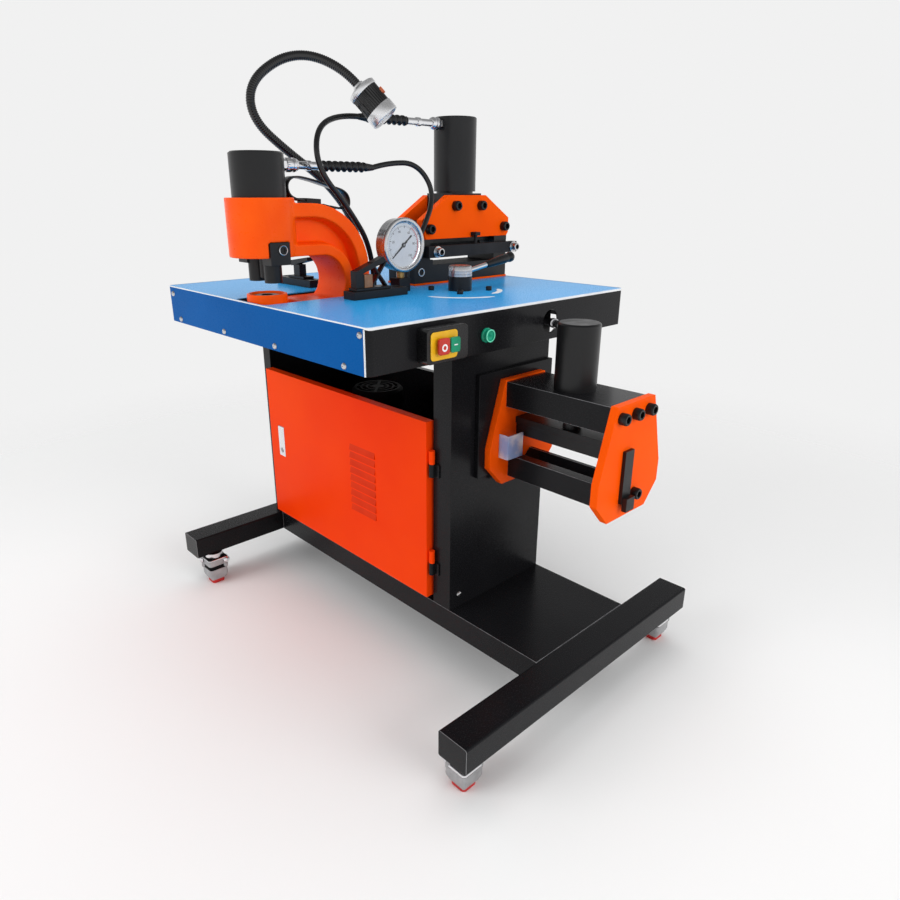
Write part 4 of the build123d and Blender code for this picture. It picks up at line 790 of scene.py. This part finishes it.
# pressure gauge
gaugeSpec = {
    "spot": (-30, 5, 864), "dial": -36.5, "start": 220, "sweep": 270,
    "case": [(0, -35), (48, -35), (51, -34.4), (53, -32), (53, -11.4), (52.2, -10.8), (52.4, -10),
             (54.8, -9.4), (55, -8.6), (55, -2.6), (54.4, -1), (53, 0), (49, 0), (47.4, -0.7), (46.6, -2),
             (46, -5.6), (44, -6.2), (43.6, -8.4), (43.6, -9), (0, -9)],
    # stem: distance behind the case's front, then radii at heights over the floor
    "stemBack": 18,
    "stem": [(0, 796), (6, 796), (9, 797, "hex"), (9, 807, "hex"), (7, 808), (7, 818), (0, 818)],
    "blockHalf": 15, "block": (769, 796),
    "glass": [(0, -4.4), (46.0, -4.4), (46.3, -3), (0, -3)],
    # marks in metres from the dial's middle
    "ticks": 51, "tickReach": 0.0390, "tickLength": 0.0028, "tickWidth": 0.24, "tickThick": 0.0001,
    "majorEvery": 5, "majorExtra": 0.9,
    "numbers": (0, 20, 40, 60, 80, 100), "numberSize": 7.2, "numberReach": 0.0285, "numberThick": 0.00005,
    # the red arc: its radii, first angle, sweep and steps
    "red": (0.0393, 0.0408), "redFrom": 58, "redSweep": 108, "redSteps": 40,
    # how far the marks and the arc stand off the dial, mm
    "markLift": 0.05, "redLift": 0.06,
    # needle's tail behind its hub: (distance, half width) pairs in mm, thickness in metres
    "tail": [(4, 1.2), (20, 1.5), (27, 2.1), (29, 1.2)], "tailThick": 0.0008,
}


def tickTree():
    tree, known, add, given = startTree("dialTicks", "Base", {
        "Count": "Int", "Radius": "Float", "Start": "Float", "Sweep": "Float", "Length": "Float",
        "Finish": "Material"}, "Ticks")
    length = given["Length"]
    index = add("GeometryNodeInputIndex").outputs[0]
    step = calc(add, "DIVIDE", given["Sweep"], calc(add, "SUBTRACT", given["Count"], 1))
    angle = calc(add, "SUBTRACT", given["Start"], calc(add, "MULTIPLY", index, step))
    major = calc(add, "LESS_THAN", calc(add, "MODULO", index, gaugeSpec["majorEvery"]), 0.5)
    stretch = calc(add, "ADD", calc(add, "MULTIPLY", major, gaugeSpec["majorExtra"]), 1)
    inward = calc(add, "MULTIPLY", calc(add, "MULTIPLY", stretch, length), 0.5)
    middle = calc(add, "SUBTRACT", given["Radius"], inward)
    spot = combine(add, calc(add, "MULTIPLY", calc(add, "COSINE", angle), middle),
                   calc(add, "MULTIPLY", calc(add, "SINE", angle), middle), 0)
    row = add("GeometryNodePoints", {"Count": given["Count"], "Position": spot})
    bulk = combine(add, length, calc(add, "MULTIPLY", length, gaugeSpec["tickWidth"]), gaugeSpec["tickThick"])
    bar = add("GeometryNodeMeshCube", {"Size": bulk})
    stamp(add, given, row.outputs[0], bar.outputs["Mesh"], combine(add, 0, 0, angle),
          combine(add, stretch, stretch, 1))
    return tree, known


def dialPlane(lift):
    # dial plane: X of the drawing runs along +Y, Y up, facing +X
    y, z = gaugeSpec["spot"][1:]
    place = Matrix(((0, 0, 1), (1, 0, 0), (0, 1, 0))).to_4x4()
    return Matrix.Translation(mm(gaugeSpec["dial"] + lift, y, z)) @ place


def numberMesh(number, spot):
    data = bpy.data.curves.new("digits", "FONT")
    data.body = str(number)
    data.size = gaugeSpec["numberSize"] / 1000
    data.align_x, data.align_y = "CENTER", "CENTER"
    data.extrude = gaugeSpec["numberThick"]
    holder = linked("digits", data)
    mesh = plainMesh(holder)
    bpy.data.objects.remove(holder)
    mesh.transform(Matrix.Translation((*spot, 0)))
    return mesh


def needleTail(bm):
    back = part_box("gauge_needle")[0][0]
    turn = math.radians(gaugeSpec["start"] + 180)
    edge = gaugeSpec["tail"] + [(u, -v) for u, v in reversed(gaugeSpec["tail"])]
    ends = []
    for x in (back, back + gaugeSpec["tailThick"]):
        place = dialPlane(x * 1000 - gaugeSpec["dial"]) @ Matrix.Rotation(turn, 4, "Z")
        ends.append([bm.verts.new(place @ (Vector((u, v, 0)) / 1000)) for u, v in edge])
    bridge(bm, ends, caps=True)


def dialMarks():
    start, sweep = gaugeSpec["start"], gaugeSpec["sweep"]
    tree, inputs = tickTree()
    ticks = runTree(linked("tickBase", bpy.data.meshes.new("tickBase")), tree, inputs,
                    {"Count": gaugeSpec["ticks"], "Radius": gaugeSpec["tickReach"],
                     "Start": math.radians(start), "Sweep": math.radians(sweep),
                     "Length": gaugeSpec["tickLength"], "Finish": finishes["markBlack"]})
    place = dialPlane(gaugeSpec["markLift"])
    ticks.transform(place)
    marks = bmesh.new()
    marks.from_mesh(ticks)
    reach = gaugeSpec["numberReach"]
    for number in gaugeSpec["numbers"]:
        angle = math.radians(start - sweep * number / 100)
        digits = numberMesh(number, polar(reach, angle))
        digits.transform(place)
        marks.from_mesh(digits)
    for face in marks.faces:
        face.material_index = 0
    place, steps = dialPlane(gaugeSpec["redLift"]), gaugeSpec["redSteps"]
    redFrom, redSweep = gaugeSpec["redFrom"], gaugeSpec["redSweep"]
    for step in range(steps):
        ends = [math.radians(redFrom - redSweep * (step + side) / steps) for side in (0, 1)]
        ring = [place @ Vector((*polar(r, a), 0)) for a in ends for r in gaugeSpec["red"]]
        marks.faces.new([marks.verts.new(ring[k]) for k in (0, 1, 3, 2)]).material_index = 1
    addTo(newPiece("gauge_marks", marks, ["markBlack", "markRed"]), "stand")


def gauge():
    spot = gaugeSpec["spot"]
    x, y = spot[:2]
    back, half = gaugeSpec["stemBack"], gaugeSpec["blockHalf"]
    bm = turnInto(bmesh.new(), gaugeSpec["case"], spot, (1, 0, 0), 72)
    turnInto(bm, gaugeSpec["stem"], (x - back, y, 0), (0, 0, 1), 30, 1)
    slabInto(bm, (x - back - half, x - back + half), (y - half, y + half), gaugeSpec["block"], 2)
    standIn(newPiece("gauge_body", bm, ["satinAlloy", "brass", "blackOxide"]), "gauge_case")
    softCopy("gauge_dial", "dialWhite", 0)
    softCopy("gauge_needle", "markBlack", 0, extra=needleTail)
    dialMarks()
    glass = turnInto(bmesh.new(), gaugeSpec["glass"], spot, (1, 0, 0), 64)
    addTo(newPiece("gauge_glass", glass, "gaugeGlass"), "stand")


gauge()
print("gauge dressed")

# control valve
valveSpec = {
    "spot": (32, 106, 769), "rise": 9, "rod": 59.5, "rodStart": (22.5, 39), "rodRadius": 5.5, "overlap": 2,
    "collar": [(0, 0), (7.6, 0), (7.6, 4), (5.6, 5.5), (5.5, 6)],
    "cap": [(10.05, 30.3), (25.5, 30.3), (25.5, 34), (24.6, 34.6), (24.6, 35.6), (25.5, 36.2), (25.5, 40),
            (24.8, 40.6), (24.8, 41.4), (25.5, 42), (25.5, 47), (24.6, 48.2), (24.6, 49.6), (22.6, 52),
            (9, 52), (8, 51.4), (0, 51.4)],
    "grip": [(0, 0), (6.4, 0), (7.2, 1), (7.6, 3), (8.6, 22), (9.8, 45), (10.4, 62), (9.6, 68), (9.4, 70),
             (10.6, 73), (11.5, 78), (11.2, 83), (9, 86.6), (5, 87.8), (0, 88)],
    # arcs on the table: radius, width, first and last angle
    "arcs": [(119, 11, -78, -9), (86, 12, 6, 60)], "arcSteps": 36, "arcHeights": (0.02, 0.25),
    # share of the width at an arc's ends, and how fast it widens from there
    "arcEnd": 0.25, "arcTaper": 6,
}


def valve():
    softCopy("valve_body", "blackOxide", 0.6)
    x, y, z = valveSpec["spot"]
    out, up = valveSpec["rodStart"]
    bm = turnInto(bmesh.new(), valveSpec["cap"], (x, y, z), (0, 0, 1), 60)
    rise = math.radians(valveSpec["rise"])
    way = (0, math.cos(rise), math.sin(rise))
    start = (x, y + out, z + up)
    rod = valveSpec["rod"]
    end = rod + valveSpec["overlap"]
    turnInto(bm, valveSpec["collar"] + [(valveSpec["rodRadius"], end), (0, end)], start, way, 32, 1)
    tail = tuple(s + rod * w for s, w in zip(start, way))
    turnInto(bm, valveSpec["grip"], tail, way, 40, 2)
    standIn(newPiece("valve_lever_set", bm, ["bareSteel", "brightPlate", "blackPlastic"]), "valve_lever")


def leverMarks():
    # two plain white arcs on the table that show the lever's way
    x, y, z = valveSpec["spot"]
    steps = valveSpec["arcSteps"]
    low, high = valveSpec["arcHeights"]
    bm = bmesh.new()
    for radius, wide, start, end in valveSpec["arcs"]:
        rows = []
        for step in range(steps + 1):
            angle = math.radians(start + (end - start) * step / steps)
            share = valveSpec["arcEnd"] + valveSpec["arcTaper"] * min(step, steps - step) / steps
            half = 0.5 * wide * min(1, share)
            edge = ((radius - half, low), (radius - half, high), (radius + half, high), (radius + half, low))
            rows.append([bm.verts.new(mm(x + reach * math.cos(angle), y + reach * math.sin(angle), z + lift))
                         for reach, lift in edge])
        bridge(bm, rows, caps=True)
    addTo(newPiece("lever_marks", bm, "whiteEdge"), "stand")


valve()
leverMarks()

# switch box and pilot lamp
switchSpec = {
    "plateFrom": 279.05,
    "ringSpot": (290.35, -188.5, 725), "ring": [(3.6, 0), (3.6, 0.35), (6.4, 0.35), (6.4, 0)],
    "bar": ((290.3, 290.75), (-166.5, -158.5), (726.2, 728.2)),
    "pilot": (254, -49, 723),
    "lens": [(0, -0.4), (13.5, -0.4), (13.5, 3), (12.8, 3.8), (12.2, 4), (12.2, 6), (11.7, 6.4), (12, 7),
             (12, 10.4), (11.6, 11.4), (11.4, 11.6), (9.5, 11.2), (9.4, 10), (7, 10.7, "flute"),
             (4.6, 9.9, "flute"), (2.4, 10.6, "flute"), (0, 10)],
    "rim": [(9.5, 11), (9.6, 12), (10, 12.4), (11, 12.4), (11.6, 12), (11.7, 11.2), (9.5, 11)],
}


def switch():
    softCopy("switch_box", ["blackPlastic", "yellowPlastic"], 1.0,
             [lambda spot: spot.x > switchSpec["plateFrom"]])
    softCopy("stop_button", "redPlastic", 1.0)
    softCopy("start_button", "greenPlastic", 1.0)
    ring = turnInto(bmesh.new(), switchSpec["ring"], switchSpec["ringSpot"], (1, 0, 0), 32)
    addTo(newPiece("stop_ring_mark", ring, "whiteEdge"), "stop_button")
    bar = slabInto(bmesh.new(), *switchSpec["bar"])
    addTo(newPiece("start_bar_mark", bar, "whiteEdge"), "start_button")
    bm = turnInto(bmesh.new(), switchSpec["lens"], switchSpec["pilot"], (1, 0, 0))
    turnInto(bm, switchSpec["rim"], switchSpec["pilot"], (1, 0, 0), finish=1)
    standIn(newPiece("pilot_lens", bm, ["greenLens", "lensRim"]), "pilot_lamp")


switch()

# work lamp
lampSpec = {
    "neck": [(-200, 25, 779), (-200, 12, 893), (-200, -60, 985), (-200, -160, 1045), (-200, -231, 1098),
             (-200, -233, 1159), (-196, -168, 1209), (-173, -108, 1220), (-118, -67.5, 1189.5),
             (-100, -50, 1162)],
    "thick": 18, "rib": 4.2, "depth": 0.05, "fine": 0.0007, "sides": 20,
    "footSpot": (-200, 25, 769),
    "foot": [(0, 0), (18, 0), (18, 5), (17, 6.5), (12.5, 8), (11.5, 14), (10.5, 20), (9.4, 21), (0, 21)],
    "head": (-100, -50, 1162), "way": (18, 17.5, -27.5),
    # the head's rear ring, fluted grip and front ring: profile, sides, finish
    "rings": [([(0, -3), (10.6, -3), (11.4, -2), (12, 0), (14, 1), (25.5, 5), (29, 7), (30, 8.4), (30, 15.6),
                (29.2, 17), (0, 17)], 72, 0),
              ([(0, 17), (27.6, 17), (28.2, 18, "flute"), (28.2, 54.6, "flute"), (27.6, 56), (0, 56)], 144,
               1),
              ([(0, 55.6), (29.2, 55.6), (30, 57), (30, 75.6), (29.2, 77.4), (28, 78), (26.6, 77.6), (26, 76),
                (26, 70), (0, 70)], 72, 0)],
}


def neckTree():
    tree, known, add, given = startTree("ribbedNeck", "Line", {
        "Thickness": "Float", "Pitch": "Float", "Depth": "Float", "Finish": "Material"}, "Neck")
    fine = add("GeometryNodeResampleCurve", {"Curve": given["Line"], "Length": lampSpec["fine"]},
               mode="LENGTH")
    along = add("GeometryNodeSplineParameter").outputs["Length"]
    turns = calc(add, "DIVIDE", along, given["Pitch"])
    wave = calc(add, "SINE", calc(add, "MULTIPLY", turns, 2 * math.pi))
    swell = calc(add, "ADD", calc(add, "MULTIPLY", calc(add, "SUBTRACT", wave, 1), given["Depth"]), 1)
    ring = add("GeometryNodeCurvePrimitiveCircle", {"Resolution": lampSpec["sides"],
                                                    "Radius": calc(add, "MULTIPLY", given["Thickness"], 0.5)})
    skin = add("GeometryNodeCurveToMesh", {"Curve": fine.outputs["Curve"],
                                           "Profile Curve": ring.outputs["Curve"], "Scale": swell,
                                           "Fill Caps": True})
    soft = add("GeometryNodeSetShadeSmooth", {"Geometry": skin.outputs["Mesh"]})
    endTree(add, given, soft.outputs["Geometry"])
    return tree, known


def lamp():
    tree, inputs = neckTree()
    route = routeCurve("neckRoute", [mm(*spot) for spot in lampSpec["neck"]])
    neck = runTree(route, tree, inputs, {"Thickness": lampSpec["thick"] / 1000,
                                         "Pitch": lampSpec["rib"] / 1000, "Depth": lampSpec["depth"],
                                         "Finish": finishes["ribbedBlack"]})
    bm = bmesh.new()
    bm.from_mesh(neck)
    turnInto(bm, lampSpec["foot"], lampSpec["footSpot"], (0, 0, 1), 40)
    standIn(newPiece("lamp_neck", bm, "ribbedBlack", sharp=60), "lamp_gooseneck")
    bm = bmesh.new()
    for profile, sides, finish in lampSpec["rings"]:
        turnInto(bm, profile, lampSpec["head"], lampSpec["way"], sides, finish)
    standIn(newPiece("lamp_head_set", bm, ["brushedPlate", "ribbedBlack"]), "lamp_head")
    softCopy("lamp_lens", "lampLens", 0)
    softCopy("lamp_button", "orangePlastic", 1.0)


lamp()
print("valve, switch and lamp dressed")

# bending station and stops
softCopy("bender_plates", "plateOrange", 0.8)
# the top block's and the die's rounded edges wear the light grey of a painted highlight
softCopy("bender_top_block", "blackPaint", 0.6, paintedHighlight="paintedEdgeHighlight")
softCopy("bender_cylinder", "turnedBlack", 0)
softCopy("bender_pusher", "blackOxide", 0.7)
softCopy("bender_die", "blackPaint", 0.6, paintedHighlight="paintedEdgeHighlight")
softCopy("bend_stop", "blackOxide", 0.15)
# the guard's whitish and blue patches are painted highlights and reflections
softCopy("bender_guard", "clearSheetPaintedSheen", 0.4)
softCopy("stop_rails", "blackOxide", 0.8)
copperBox = ((-22.5, -1.5), (-126.5, -105.5), (789, 816))
softCopy("stop_slide_front", ["blackOxide", "copperBlock"], 0.5,
         [lambda spot: all(low < value < high for value, (low, high) in zip(spot, copperBox))])
softCopy("stop_slide_rear", "blackOxide", 0.5)
print("bender and stops dressed")

# floor, light and surroundings
studio = {
    "pale": (0.88, 0.88, 0.88), "world": 0.55, "horizon": 1.0, "zenith": 0.25, "zenithFrom": 0.8,
    # the floor's radius, and the distances between which it fades away
    "floor": 4.5, "fade": (0.8, 2.6), "aim": (0, 0, 0.6),
    # name, place, size and power
    "lamps": [("key", (-1.6, -4.6, 2.2), 3.0, 115), ("side", (4.8, 0.4, 1.9), 3.0, 120),
              ("top", (-0.2, 0.2, 3.2), 2.6, 34)],
}


def layFloor():
    bm = bmesh.new()
    bmesh.ops.create_circle(bm, cap_ends=True, radius=studio["floor"], segments=96)
    mesh = bpy.data.meshes.new("floor")
    bm.to_mesh(mesh)
    bm.free()
    linked("floor", mesh)
    material, shader, add = newMaterial("paleFloor", {"Base Color": (*studio["pale"], 1), "Roughness": 0.9,
                                                      "Specular IOR Level": 0})
    where = add("ShaderNodeTexCoord").outputs["Object"]
    reach = add("ShaderNodeVectorMath", {0: where}, operation="LENGTH").outputs["Value"]
    near, far = studio["fade"]
    fade = add("ShaderNodeMapRange", {"Value": reach, "From Min": near, "From Max": far},
               interpolation_type="SMOOTHSTEP")
    gone = add("ShaderNodeBsdfTransparent")
    mix = add("ShaderNodeMixShader", {0: fade.outputs["Result"], 1: shader.outputs[0], 2: gone.outputs[0]})
    setInputs(material.node_tree.nodes["Material Output"], {"Surface": mix.outputs[0]})
    mesh.materials.append(material)


def hangSky():
    # the camera sees an even pale ground; shiny pieces mirror a sky that darkens upwards
    world = bpy.data.worlds.new("studio")
    scene.world = world
    world.use_nodes = True
    add = adderFor(world.node_tree)
    ray = add("ShaderNodeLightPath").outputs
    seen = add("ShaderNodeMath", {0: ray["Is Camera Ray"], 1: ray["Is Transmission Ray"]},
               operation="MAXIMUM", use_clamp=True)
    where = add("ShaderNodeTexCoord").outputs["Generated"]
    height = add("ShaderNodeSeparateXYZ", {0: where}).outputs["Z"]
    sky = add("ShaderNodeMapRange", {"Value": height, "From Min": 0.0, "From Max": studio["zenithFrom"],
                                     "To Min": studio["horizon"], "To Max": studio["zenith"]},
              interpolation_type="SMOOTHSTEP")
    level = add("ShaderNodeMix", {0: ray["Is Glossy Ray"], 2: studio["world"], 3: sky.outputs["Result"]})
    behind = world.node_tree.nodes["Background"]
    setInputs(behind, {"Color": (1, 1, 1, 1), "Strength": level.outputs[0]})
    shown = add("ShaderNodeBackground", {"Color": (*studio["pale"], 1)})
    mix = add("ShaderNodeMixShader", {0: seen.outputs[0], 1: behind.outputs[0], 2: shown.outputs[0]})
    setInputs(world.node_tree.nodes["World Output"], {"Surface": mix.outputs[0]})


def hangLamps():
    for name, spot, size, power in studio["lamps"]:
        data = bpy.data.lights.new(name, "AREA")
        data.size = size
        data.energy = power
        light = linked(name, data)
        aim = Vector(studio["aim"]) - Vector(spot)
        light.matrix_world = Matrix.Translation(spot) @ aim.to_track_quat("-Z", "Y").to_matrix().to_4x4()
        light.visible_glossy = False


layFloor()
hangSky()
hangLamps()
print("scene ready")
